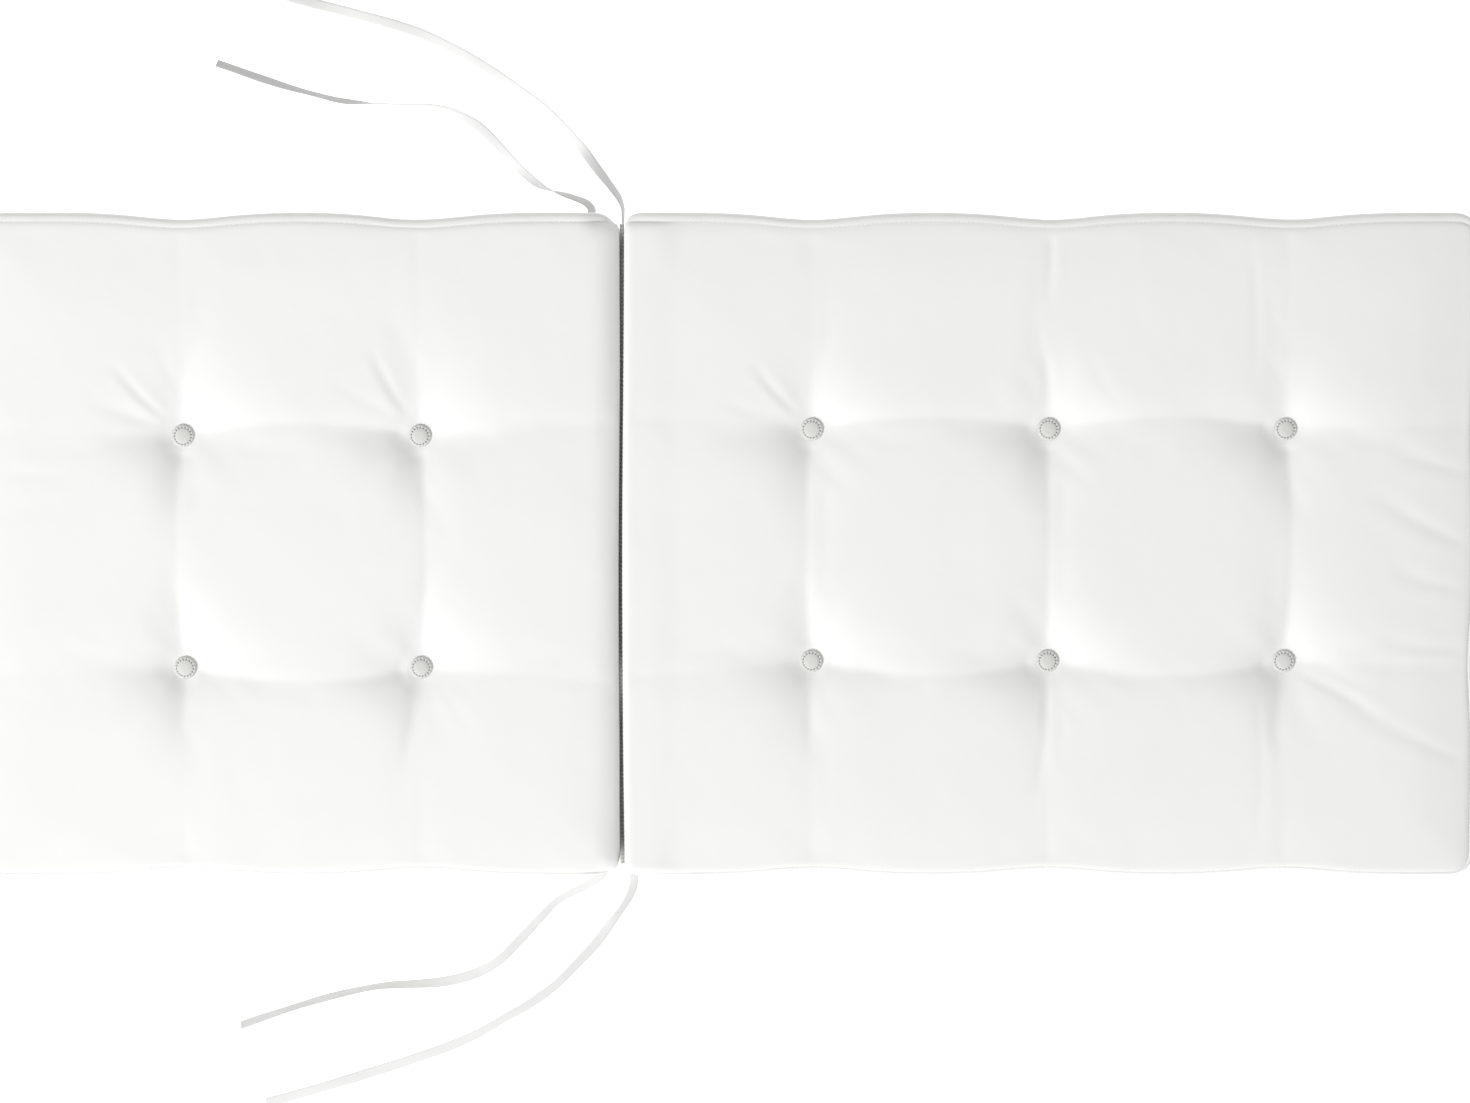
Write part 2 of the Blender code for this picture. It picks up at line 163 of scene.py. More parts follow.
TIE_TWISTS = {
    "tie_seat_right": [
        (0.0, 40), (0.08, 62), (0.20, 144), (0.30, 170), (0.46, 150), (0.58, 96), (0.70, 62),
        (1.0, 42),
    ],
    "tie_back_right": [
        (0.0, 88), (0.035, 76), (0.085, 50), (0.15, 30), (0.24, -38), (0.35, -30), (0.7, -12), (1.0, 6),
    ],
    "tie_seat_left": [
        (0.0, -24), (0.12, -36), (0.30, -20), (0.46, 6), (0.58, 50), (0.70, 60), (1.0, 57),
    ],
    "tie_back_left": [(0.0, -20), (0.12, -42), (0.17, -14), (0.45, -28), (0.75, -6), (1.0, -14)],
}
# how far each tie runs on inwards from where it leaves the pad
TIE_ROOTS = {"tie_back_right": 0.012}
TIE_ROOT = 0.004
TIE_STEP = 0.0022               # spacing of the tape's rings
TIE_LIFT = 0.0002
TIE_RIPPLE = 5.0                # small twists to and fro, in degrees
TAIL_SHADED_TIES = ("tie_seat_right", "tie_seat_left")     # painted shade darkens their tails


# ---- small helpers ------------------------------------------------------------------------
def new_mesh_object(name, verts, faces, finish=None):
    mesh = bpy.data.meshes.new(name)
    mesh.from_pydata([tuple(v) for v in verts], [], [tuple(f) for f in faces])
    mesh.update()
    piece = bpy.data.objects.new(name, mesh)
    bpy.context.scene.collection.objects.link(piece)
    if finish:
        mesh.materials.append(finish)
    return piece


def settle(piece):
    """Turn a piece and its live modifiers into a plain mesh."""
    graph = bpy.context.evaluated_depsgraph_get()
    graph.update()
    plain = bpy.data.meshes.new_from_object(piece.evaluated_get(graph), depsgraph=graph)
    old = piece.data
    piece.modifiers.clear()
    piece.data = plain
    bpy.data.meshes.remove(old)
    return piece


def face_outwards(piece):
    bm = bmesh.new()
    bm.from_mesh(piece.data)
    bmesh.ops.recalc_face_normals(bm, faces=bm.faces)
    bm.to_mesh(piece.data)
    bm.free()


def read_points(mesh):
    points = np.empty(len(mesh.vertices) * 3, dtype=np.float32)
    mesh.vertices.foreach_get("co", points)
    return points.reshape(-1, 3).astype(np.float64)


def write_points(mesh, points):
    mesh.vertices.foreach_set("co", points.astype(np.float32).ravel())
    mesh.update()


def smooth_line(points, pieces=10):
    """Points of a Catmull-Rom curve through the given points."""
    knots = [Vector(p) for p in points]
    line = [knots[0]]
    for index in range(len(knots) - 1):
        p0 = knots[max(index - 1, 0)]
        p1 = knots[index]
        p2 = knots[index + 1]
        p3 = knots[min(index + 2, len(knots) - 1)]
        for step in range(1, pieces + 1):
            t = step / pieces
            line.append(
                0.5 * ((2 * p1) + (p2 - p0) * t + (2 * p0 - 5 * p1 + 4 * p2 - p3) * t * t
                       + (3 * p1 - p0 - 3 * p2 + p3) * t * t * t)
            )
    return line


def along(line, spacing):
    """Evenly spaced points on a line, its ends included, with their share of the length."""
    steps = [(b - a).length for a, b in zip(line, line[1:])]
    total = sum(steps)
    count = max(2, round(total / spacing))
    result = []
    index = 0
    walked = 0.0
    for step in range(count + 1):
        goal = total * step / count
        while index < len(steps) - 1 and walked + steps[index] < goal:
            walked += steps[index]
            index += 1
        share = 0.0 if steps[index] == 0 else (goal - walked) / steps[index]
        result.append(line[index].lerp(line[index + 1], min(max(share, 0.0), 1.0)))
    return result, total


def between(table, share):
    """Value of a table of (share, value) at a share, eased between its rows."""
    for (a, va), (b, vb) in zip(table, table[1:]):
        if share <= b:
            t = (share - a) / (b - a)
            t = t * t * (3 - 2 * t)
            return va + (vb - va) * t
    return table[-1][1]


def ride(piece, body, slot, *nodes):
    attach(piece, body)
    if nodes:
        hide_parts(*nodes)


# ---- camera --------------------------------------------------------------------------------
VIEW_CENTRE = Vector((0.006, -0.004, 0.045))
VIEW_WIDTH = 1.110
CAMERA_DISTANCE = 3.4
CAMERA_LEAN = math.radians(4.5)     # leans past the right-hand edge, whose side band shows


def place_camera():
    data = bpy.data.cameras.new("camera")
    data.sensor_width = 36.0
    data.lens = data.sensor_width * CAMERA_DISTANCE / VIEW_WIDTH
    data.clip_end = 20.0
    camera = bpy.data.objects.new("camera", data)
    lean = Vector((0.0, math.sin(CAMERA_LEAN), math.cos(CAMERA_LEAN)))
    camera.location = VIEW_CENTRE + lean * CAMERA_DISTANCE
    camera.rotation_euler = (-CAMERA_LEAN, 0.0, 0.0)
    bpy.context.scene.collection.objects.link(camera)
    bpy.context.scene.camera = camera


# ---- shared effects in the materials ------------------------------------------------------
def group_tree(name, inputs, outputs):
    tree = bpy.data.node_groups.new(name, "ShaderNodeTree")
    for socket, kind, value in inputs:
        made = tree.interface.new_socket(socket, in_out="INPUT", socket_type=kind)
        if value is not None:
            made.default_value = value
    for socket, kind in outputs:
        tree.interface.new_socket(socket, in_out="OUTPUT", socket_type=kind)
    start = tree.nodes.new("NodeGroupInput")
    end = tree.nodes.new("NodeGroupOutput")
    return tree, start, end


def math_node(tree, operation, first, second=None, third=None):
    node = tree.nodes.new("ShaderNodeMath")
    node.operation = operation
    for socket, value in zip(node.inputs, (first, second, third)):
        if value is None:
            continue
        if isinstance(value, (int, float)):
            socket.default_value = value
        else:
            tree.links.new(value, socket)
    return node.outputs[0]


def mix_colour(tree, factor, first, second):
    node = tree.nodes.new("ShaderNodeMix")
    node.data_type = "RGBA"
    for socket, value in ((node.inputs[0], factor), (node.inputs[6], first), (node.inputs[7], second)):
        if isinstance(value, (int, float)):
            socket.default_value = value
        elif isinstance(value, tuple):
            socket.default_value = (*value, 1.0)
        else:
            tree.links.new(value, socket)
    return node.outputs[2]


def weave_group():
    """Plain weave from a surface position in metres: height, thread mask and gap mask."""
    tree, start, end = group_tree(
        "plain_weave",
        [("Surface", "NodeSocketVector", None), ("Thread Pitch", "NodeSocketFloat", 0.0006),
         ("Slub", "NodeSocketFloat", 0.25)],
        [("Height", "NodeSocketFloat"), ("Gaps", "NodeSocketFloat"), ("Slubs", "NodeSocketFloat")],
    )
    split = tree.nodes.new("ShaderNodeSeparateXYZ")
    tree.links.new(start.outputs["Surface"], split.inputs[0])
    wobble = tree.nodes.new("ShaderNodeTexNoise")
    wobble.inputs["Scale"].default_value = 90.0
    wobble.inputs["Detail"].default_value = 2.0
    tree.links.new(start.outputs["Surface"], wobble.inputs["Vector"])
    drift = math_node(tree, "MULTIPLY", wobble.outputs["Fac"], 0.0012)
    phase = []
    for socket in (split.outputs[0], split.outputs[1]):
        shifted = math_node(tree, "ADD", socket, drift)
        turns = math_node(tree, "DIVIDE", shifted, start.outputs["Thread Pitch"])
        phase.append(math_node(tree, "MULTIPLY", turns, math.pi))
    across = [math_node(tree, "ABSOLUTE", math_node(tree, "SINE", value)) for value in phase]
    over = math_node(tree, "MULTIPLY", math_node(tree, "SINE", phase[0]), math_node(tree, "SINE", phase[1]))
    over = math_node(tree, "MULTIPLY_ADD", over, 0.5, 0.5)
    threads = math_node(tree, "MAXIMUM", across[0], across[1])
    height = math_node(tree, "MULTIPLY_ADD", over, 0.5, math_node(tree, "MULTIPLY", threads, 0.5))
    gaps = math_node(tree, "SUBTRACT", 1.0, threads)
    slub = tree.nodes.new("ShaderNodeTexNoise")
    slub.inputs["Scale"].default_value = 260.0
    slub.inputs["Detail"].default_value = 3.0
    tree.links.new(start.outputs["Surface"], slub.inputs["Vector"])
    slubs = math_node(tree, "MULTIPLY", slub.outputs["Fac"], start.outputs["Slub"])
    tree.links.new(math_node(tree, "ADD", height, slubs), end.inputs["Height"])
    tree.links.new(gaps, end.inputs["Gaps"])
    tree.links.new(slubs, end.inputs["Slubs"])
    return tree


def crumple_group():
    """Slow and fine creasing of soft cloth, from a position in metres."""
    tree, start, end = group_tree(
        "soft_crumple",
        [("Position", "NodeSocketVector", None), ("Size", "NodeSocketFloat", 22.0)],
        [("Height", "NodeSocketFloat"), ("Tone", "NodeSocketFloat")],
    )
    slow = tree.nodes.new("ShaderNodeTexNoise")
    slow.inputs["Detail"].default_value = 3.0
    slow.inputs["Roughness"].default_value = 0.55
    slow.inputs["Distortion"].default_value = 0.6
    tree.links.new(start.outputs["Position"], slow.inputs["Vector"])
    tree.links.new(start.outputs["Size"], slow.inputs["Scale"])
    fine = tree.nodes.new("ShaderNodeTexNoise")
    fine.inputs["Scale"].default_value = 7.0
    fine.inputs["Detail"].default_value = 4.0
    tree.links.new(start.outputs["Position"], fine.inputs["Vector"])
    tree.links.new(slow.outputs["Fac"], end.inputs["Height"])
    tree.links.new(fine.outputs["Fac"], end.inputs["Tone"])
    return tree


GAP_SHADE = 0.55                # how dark the gaps between threads go
TONE_CHANGE = 0.985             # how little the cloth's tone changes from place to place
# how strong the painted shade on a tie's tail grows
TAIL_SHADE_STRENGTH = 0.9
WEAVE = weave_group()
CRUMPLE = crumple_group()


def bare_material(name, roughness):
    finish = bpy.data.materials.new(name)
    finish.use_nodes = True
    tree = finish.node_tree
    shader = tree.nodes["Principled BSDF"]
    shader.inputs["Roughness"].default_value = roughness
    return finish, tree, shader


def woven_cloth(name, light, dark, pitch, weave_depth, crumple_depth=0.0004, sheen=0.12, roughness=0.9,
                tail=None):
    """Matt woven cotton that follows the piece's own cut: weave, slubs, soft creasing and tone.

    tail=(start, end, share) paints shade on the cloth, darkening it in patches down to that share between
    two places along its cut.
    """
    finish, tree, shader = bare_material(name, roughness)
    shader.inputs["Sheen Weight"].default_value = sheen
    shader.inputs["Sheen Roughness"].default_value = 0.6
    shader.inputs["Specular IOR Level"].default_value = 0.18
    cut = tree.nodes.new("ShaderNodeUVMap")
    cut.uv_map = "cut"
    place = tree.nodes.new("ShaderNodeTexCoord")
    weave = tree.nodes.new("ShaderNodeGroup")
    weave.node_tree = WEAVE
    weave.inputs["Thread Pitch"].default_value = pitch
    tree.links.new(cut.outputs[0], weave.inputs["Surface"])
    crumple = tree.nodes.new("ShaderNodeGroup")
    crumple.node_tree = CRUMPLE
    tree.links.new(place.outputs["Object"], crumple.inputs["Position"])
    colour = mix_colour(tree, crumple.outputs["Tone"], light, tuple(c * TONE_CHANGE for c in light))
    gap_share = math_node(tree, "MULTIPLY", weave.outputs["Gaps"], GAP_SHADE)
    colour = mix_colour(tree, gap_share, colour, dark)
    # painted shade: the cloth darkens in patches along its tail
    if tail:
        start, end, share = tail
        split = tree.nodes.new("ShaderNodeSeparateXYZ")
        tree.links.new(cut.outputs[0], split.inputs[0])
        reach = tree.nodes.new("ShaderNodeMapRange")
        reach.inputs["From Min"].default_value = start
        reach.inputs["From Max"].default_value = end
        reach.inputs["To Max"].default_value = TAIL_SHADE_STRENGTH
        tree.links.new(split.outputs[0], reach.inputs["Value"])
        tail_shade_mask = math_node(tree, "MULTIPLY", reach.outputs[0], crumple.outputs["Height"])
        tail_shade_mask = math_node(tree, "MULTIPLY", tail_shade_mask, 2.0)
        colour = mix_colour(tree, tail_shade_mask, colour, tuple(c * share for c in light))
    tree.links.new(colour, shader.inputs["Base Color"])
    rough = math_node(tree, "MULTIPLY_ADD", weave.outputs["Slubs"], 0.25, roughness - 0.05)
    tree.links.new(rough, shader.inputs["Roughness"])
    creases = tree.nodes.new("ShaderNodeBump")
    creases.inputs["Distance"].default_value = crumple_depth
    creases.inputs["Strength"].default_value = 1.0
    tree.links.new(crumple.outputs["Height"], creases.inputs["Height"])
    threads = tree.nodes.new("ShaderNodeBump")
    threads.inputs["Distance"].default_value = weave_depth
    threads.inputs["Strength"].default_value = 0.6
    tree.links.new(weave.outputs["Height"], threads.inputs["Height"])
    tree.links.new(creases.outputs[0], threads.inputs["Normal"])
    tree.links.new(threads.outputs[0], shader.inputs["Normal"])
    return finish


def plain_finish(name, light, dark, roughness, metallic=0.0, grain=400.0, depth=0.00005, coat=0.0):
    """Moulded or stamped surface with fine grain and slightly uneven colour and gloss."""
    finish, tree, shader = bare_material(name, roughness)
    shader.inputs["Metallic"].default_value = metallic
    shader.inputs["Coat Weight"].default_value = coat
    place = tree.nodes.new("ShaderNodeTexCoord")
    speckle = tree.nodes.new("ShaderNodeTexNoise")
    speckle.inputs["Scale"].default_value = grain
    speckle.inputs["Detail"].default_value = 3.0
    tree.links.new(place.outputs["Object"], speckle.inputs["Vector"])
    colour = mix_colour(tree, speckle.outputs["Fac"], light, dark)
    tree.links.new(colour, shader.inputs["Base Color"])
    rough = math_node(tree, "MULTIPLY_ADD", speckle.outputs["Fac"], 0.2, roughness - 0.1)
    tree.links.new(rough, shader.inputs["Roughness"])
    bump = tree.nodes.new("ShaderNodeBump")
    bump.inputs["Distance"].default_value = depth
    tree.links.new(speckle.outputs["Fac"], bump.inputs["Height"])
    tree.links.new(bump.outputs[0], shader.inputs["Normal"])
    return finish


TAPE_LIGHT = (0.82, 0.82, 0.81)
TAPE_DARK = (0.62, 0.62, 0.61)
FINISHES = {
    "cover_cloth": woven_cloth("cover_cloth", (0.885, 0.885, 0.870), (0.80, 0.80, 0.78), 0.0005, 0.00008),
    "band_cloth": woven_cloth("band_cloth", (0.875, 0.875, 0.860), (0.79, 0.79, 0.77), 0.0005, 0.00008),
    "button_cloth": woven_cloth(
        "button_cloth", (0.70, 0.70, 0.675), (0.56, 0.56, 0.54), 0.0005, 0.00008, 0.0001),
    # the web's grey is painted shade for the deep fold groove
    "web_cloth": woven_cloth("web_cloth", (0.50, 0.50, 0.475), (0.30, 0.30, 0.28), 0.0009, 0.0003),
    "tie_tape": woven_cloth("tie_tape", TAPE_LIGHT, TAPE_DARK, 0.0007, 0.00012, 0.0001),
    # tape with painted shade on its tail
    "tie_tape_greyed": woven_cloth(
        "tie_tape_greyed", TAPE_LIGHT, TAPE_DARK, 0.0007, 0.00012, 0.0001, tail=(0.165, 0.215, 0.82)),
    "filling_foam": plain_finish(
        "filling_foam", (0.86, 0.83, 0.72), (0.78, 0.75, 0.64), 0.95, grain=900.0, depth=0.0004),
    "plate_metal": plain_finish(
        "plate_metal", (0.74, 0.74, 0.75), (0.60, 0.60, 0.61), 0.38, metallic=1.0, grain=700.0),
    "under_button_plastic": plain_finish(
        "under_button_plastic", (0.83, 0.83, 0.81), (0.77, 0.77, 0.75), 0.36, coat=0.25),
    "twine_thread": plain_finish(
        "twine_thread", (0.84, 0.83, 0.79), (0.66, 0.65, 0.60), 0.8, grain=2500.0, depth=0.0002),
    "gather_shade": plain_finish("gather_shade", (0.30, 0.30, 0.28), (0.22, 0.22, 0.20), 0.95),
    "sewing_thread": plain_finish(
        "sewing_thread", (0.90, 0.90, 0.88), (0.78, 0.78, 0.76), 0.75, grain=2500.0, depth=0.0001),
}


# ---- ties ------------------------------------------------------------------------------------
def tape_profile():
    """Cross-section of the flat tape, counter-clockwise (across, up), its edges rounded."""
    half_width = TIE_WIDTH / 2
    half = TIE_THICKNESS / 2
    points = []
    for across in (-0.5, 0.0, 0.5):
        points.append((across * half_width, -half))
    for degrees in (-60, -20, 20, 60):
        angle = math.radians(degrees)
        points.append((half_width - half + half * math.cos(angle), half * math.sin(angle)))
    for across in (0.5, 0.0, -0.5):
        points.append((across * half_width, half))
    for degrees in (120, 160, 200, 240):
        angle = math.radians(degrees)
        points.append((-half_width + half + half * math.cos(angle), half * math.sin(angle)))
    return points


def make_tie(name):
    route = [Vector((x, y, 0.0)) for x, y in TIE_ROUTES[name]]
    outward = math.copysign(1.0, route[0].y)
    hidden = route[0] - Vector((0.0, outward * TIE_ROOTS.get(name, TIE_ROOT), 0.0))
    line, length = along(smooth_line([hidden, *route]), TIE_STEP)
    profile = tape_profile()
    verts = []
    count = len(profile)
    for index, point in enumerate(line):
        share = index / (len(line) - 1)
        after = line[min(index + 1, len(line) - 1)]
        before = line[max(index - 1, 0)]
        forward = (after - before).normalized()
        side = Vector((-forward.y, forward.x, 0.0))
        ripple = TIE_RIPPLE * math.sin(share * 31.0 + route[0].x * 400)
        angle = math.radians(between(TIE_TWISTS[name], share) + ripple * min(share * 6, 1.0))
        across = side * math.cos(angle) + Vector((0.0, 0.0, math.sin(angle)))
        up = -side * math.sin(angle) + Vector((0.0, 0.0, math.cos(angle)))
        half_height = abs(math.sin(angle)) * TIE_WIDTH / 2 + abs(math.cos(angle)) * TIE_THICKNESS / 2
        centre = Vector((point.x, point.y, half_height + TIE_LIFT))
        verts.extend(centre + across * a + up * u for a, u in profile)
    faces = []
    for index in range(len(line) - 1):
        for step in range(count):
            after = (step + 1) % count
            low = index * count
            faces.append((low + step, low + after, low + count + after, low + count + step))
    faces.append(tuple(reversed(range(count))))
    faces.append(tuple(range(len(verts) - count, len(verts))))
    # the ties listed there get the tape with painted shade on its tail
    finish = FINISHES["tie_tape_greyed" if name in TAIL_SHADED_TIES else "tie_tape"]
    tie = new_mesh_object(name + "_tape", verts, faces, finish)
    layer = tie.data.uv_layers.new(name="cut")
    spacing = length / (len(line) - 1)
    for loop in tie.data.loops:
        ring, step = divmod(loop.vertex_index, count)
        layer.data[loop.index].uv = (ring * spacing, profile[step][0])
    face_outwards(tie)
    tie.data.shade_smooth()
    tie.data.set_sharp_from_angle(angle=math.radians(50))
    ride(tie, "seat", "tie_tape", name)


# ---- shape of a section's cover ------------------------------------------------------------------
ARC_STEPS = 8                   # steps over half of a rounded corner
WALL_EASE = (0.020, 0.120)      # the fold's walls start to lean this far in from the long edges
END_EASE = 0.06                 # the free end's scallops fade over this length at its corners
END_SCALLOP_REACH = 0.04


def half_arc_side(start, start_radius, end, end_radius, inwards):
    """One side of a rounded outline, from the middle of its first corner arc to that of its last."""
    direction = (end - start).normalized()
    points = []
    centre = start + (direction + inwards) * start_radius
    for step in range(ARC_STEPS + 1):
        angle = math.radians(45 - 45 * step / ARC_STEPS)
        across = inwards * start_radius * math.cos(angle)
        points.append(centre - across - direction * start_radius * math.sin(angle))
    centre = end + (inwards - direction) * end_radius
    for step in range(ARC_STEPS + 1):
        angle = math.radians(45 * step / ARC_STEPS)
        across = inwards * end_radius * math.cos(angle)
        points.append(centre - across + direction * end_radius * math.sin(angle))
    return points


def side_shares(length):
    """Spacing of the grid along a side: narrow strips at both ends, even between."""
    strip = SEAM_STRIP / length
    inner = round((length - 2 * SEAM_STRIP) / GRID)
    even = [strip + (1 - 2 * strip) * step / inner for step in range(inner + 1)]
    return [0.0, *even, 1.0]


def sample_side(points, shares):
    steps = [(b - a).length for a, b in zip(points, points[1:])]
    total = sum(steps)
    result = []
    index = 0
    walked = 0.0
    for share in shares:
        goal = total * share
        while index < len(steps) - 1 and walked + steps[index] < goal:
            walked += steps[index]
            index += 1
        inside = 0.0 if steps[index] == 0 else (goal - walked) / steps[index]
        result.append(points[index].lerp(points[index + 1], min(max(inside, 0.0), 1.0)))
    return result


def pull(distance, reach):
    return math.exp(-((distance / reach) ** 2))


def outline_sides(section):
    """The section's outline in its own plan (from the fold, across), as four sampled sides."""
    length = section["length"] - END_INSET
    half = HALF_WIDTH
    left, right = LEFT_INSET - half, half - RIGHT_INSET
    corners = [Vector((0, left)), Vector((length, left)), Vector((length, right)), Vector((0, right))]
    columns = sorted({round(abs(b.x - section["fold"]), 4) for b in section["buttons"]})
    rows = sorted({round(b.y, 4) for b in section["buttons"]})
    shares_along = side_shares(length)
    shares_across = side_shares(right - left)
    fold_corner = section["fold_corner"]
    lower = half_arc_side(corners[0], fold_corner, corners[1], END_CORNER, Vector((0, 1)))
    upper = half_arc_side(corners[3], fold_corner, corners[2], END_CORNER, Vector((0, -1)))
    fold = half_arc_side(corners[0], fold_corner, corners[3], fold_corner, Vector((1, 0)))
    end = half_arc_side(corners[1], END_CORNER, corners[2], END_CORNER, Vector((-1, 0)))
    sides = {
        "lower": sample_side(lower, shares_along),
        "upper": sample_side(upper, shares_along),
        "fold": sample_side(fold, shares_across),
        "end": sample_side(end, shares_across),
    }
    for point in (*sides["lower"], *sides["upper"]):
        inset = SCALLOP * sum(pull(point.x - column, SCALLOP_REACH) for column in columns)
        if point.y > 0:
            inset += right_trim(section, point.x)
        point.y -= math.copysign(inset * min(1.0, abs(point.y) / half), point.y)
    for point in sides["fold"]:
        inside = float(smoothstep(half - abs(point.y), *WALL_EASE))
        sway = 0.75 + 0.25 * math.sin(point.y * 23.0 + section["side"])
        point.x += section["side"] * fold_drift(point.y) - WALL_LEAN * inside * sway
    for point in sides["end"]:
        ease = min(1.0, max(0.0, (half - abs(point.y)) / END_EASE))
        point.x -= END_SCALLOP * ease * sum(pull(point.y - row, END_SCALLOP_REACH) for row in rows)
    return sides


def fold_drift(y):
    """The fold wanders a little from side to side along its length."""
    return FOLD_DRIFT * math.sin(y * 11.0 - 0.9)


def right_trim(section, u):
    near, far = section["trim"]
    return near + (far - near) * u / section["length"]


def coons_grid(sides):
    """Fill the outline with a grid whose edges are its four sides."""
    lower, upper = sides["lower"], sides["upper"]
    fold, end = sides["fold"], sides["end"]
    count_x, count_y = len(lower), len(fold)
    grid = np.zeros((count_x, count_y, 2))
    corner = [np.array(p) for p in (lower[0], lower[-1], upper[0], upper[-1])]
    across = np.array([(p - fold[0]).length for p in fold])
    across /= across[-1]
    lengthways = np.array([abs(p.x - lower[0].x) for p in lower]) / abs(lower[-1].x - lower[0].x)
    for i in range(count_x):
        u = lengthways[i]
        for j in range(count_y):
            v = across[j]
            straight = (1 - v) * np.array(lower[i]) + v * np.array(upper[i])
            crossed = (1 - u) * np.array(fold[j]) + u * np.array(end[j])
            bilinear = ((1 - u) * (1 - v) * corner[0] + u * (1 - v) * corner[1]
                        + (1 - u) * v * corner[2] + u * v * corner[3])
            grid[i, j] = straight + crossed - bilinear
    return grid


def edge_distance(section, plan):
    """Distance in from the section's rounded outline."""
    u, v = plan[..., 0], plan[..., 1]
    length = section["length"] - END_INSET
    inset = scallop_inset(section, u) + np.where(v > 0, RIGHT_INSET + right_trim(section, u), LEFT_INSET)
    radius = np.where(u > length / 2, END_CORNER, section["fold_corner"])
    qx = np.abs(u - length / 2) - (length / 2 - radius)
    qy = np.abs(v) - (HALF_WIDTH - inset - radius)
    outside = np.hypot(np.maximum(qx, 0), np.maximum(qy, 0)) + np.minimum(np.maximum(qx, qy), 0) - radius
    return np.maximum(-outside, 0.0)


def quarter_round(distance, reach):
    """0 at the edge, rising along a quarter ellipse to 1 at reach."""
    t = 1.0 - np.clip(distance / reach, 0.0, 1.0)
    return np.sqrt(1.0 - t * t)


def smoothstep(value, low, high):
    t = np.clip((value - low) / (high - low), 0.0, 1.0)
    return t * t * (3 - 2 * t)


def scallop_inset(section, u):
    columns = sorted({round(abs(b.x - section["fold"]), 4) for b in section["buttons"]})
    return SCALLOP * sum(np.exp(-(((u - column) / SCALLOP_REACH) ** 2)) for column in columns)


def top_height(section, plan):
    """Height of the top panel before it is tufted: rolled edges and a gentle crown."""
    u = plan[..., 0]
    distance = edge_distance(section, plan)
    near_fold = fold_share(u, 0.5 * section["fold_roll"])
    reach = EDGE_ROLL + (section["fold_roll"] - EDGE_ROLL) * near_fold
    seam = seam_height(section, u)
    crown = CROWN * (1 - np.exp(-distance / CROWN_REACH))
    crown = crown + (CROWN - crown) * section_flatness(section, u)
    rise = (SHOULDER_Z - end_droop(section, u) - seam) * quarter_round(distance, reach)
    return seam + rise + crown


def fold_share(u, start=0.006):
    """1 beside the fold, fading to 0 away from it."""
    return 1.0 - smoothstep(u, start, start + FOLD_FADE)


def seam_height(section, u):
    """Height of the seam between the top panel and the band."""
    to_fold = (section["fold_seam"] - TOP_SEAM_Z) * fold_share(u)
    return TOP_SEAM_Z + to_fold - end_droop(section, u)


def end_droop(section, u):
    """How far a section has fallen towards its free end."""
    return section["droop"] * np.clip(1.0 - (section["length"] - u) / DROOP_REACH, 0.0, 1.0) ** 2


def section_flatness(section, u):
    """The back section keeps its full height right up to the fold."""
    return (1.0 if section["side"] > 0 else 0.0) * fold_share(u, 0.020)


def dimple_fall(section, plan, foot, depth, reach, star=0.0):
    """How far the tufts pull the cloth down: star lets the dimples run out along rows and columns."""
    fall = np.zeros(plan.shape[:-1])
    for button in section["buttons"]:
        centre = np.array((abs(button.x - section["fold"]), button.y))
        across, up = plan[..., 0] - centre[0], plan[..., 1] - centre[1]
        radius = np.hypot(across, up)
        angle = np.arctan2(up, across)
        square = np.cos(2 * angle) ** 2                 # 1 along rows and columns
        lean = np.cos(angle - (math.pi / 4 if section["side"] > 0 else 3 * math.pi / 4))
        spread = reach * (1 + star * square + section["lean"] * lean)
        pulled = depth * np.exp(-np.maximum(radius - foot, 0.0) / spread)
        fall = np.maximum(fall, pulled)
    return fall


def band_outward(loop):
    """Outward plan direction at each point of the closed outline."""
    ahead = np.roll(loop, -1, axis=0) - np.roll(loop, 1, axis=0)
    ahead /= np.linalg.norm(ahead, axis=1, keepdims=True)
    return np.stack([ahead[:, 1], -ahead[:, 0]], axis=1)


def band_reach(outward):
    """How far the band stands out from its seams, for each outward direction."""
    sideways = np.where(outward[:, 1] > 0, RIGHT_INSET, LEFT_INSET) + BAND_BULGE
    endways = np.where(outward[:, 0] > 0, END_INSET + BAND_BULGE, 0.0)
    return sideways * outward[:, 1] ** 2 + endways * outward[:, 0] ** 2


def outline_loop(count_x, count_y):
    """Grid places around the edge: lower side, end, upper side, fold."""
    lower = [(i, 0) for i in range(count_x - 1)]
    end = [(count_x - 1, j) for j in range(count_y - 1)]
    upper = [(i, count_y - 1) for i in range(count_x - 1, 0, -1)]
    fold = [(0, j) for j in range(count_y - 1, 0, -1)]
    return lower + end + upper + fold


def section_plan(section):
    """Plan grid of a section, and its world x and y."""
    grid = coons_grid(outline_sides(section))
    world_x = section["fold"] + section["side"] * grid[..., 0]
    return grid, world_x, grid[..., 1]


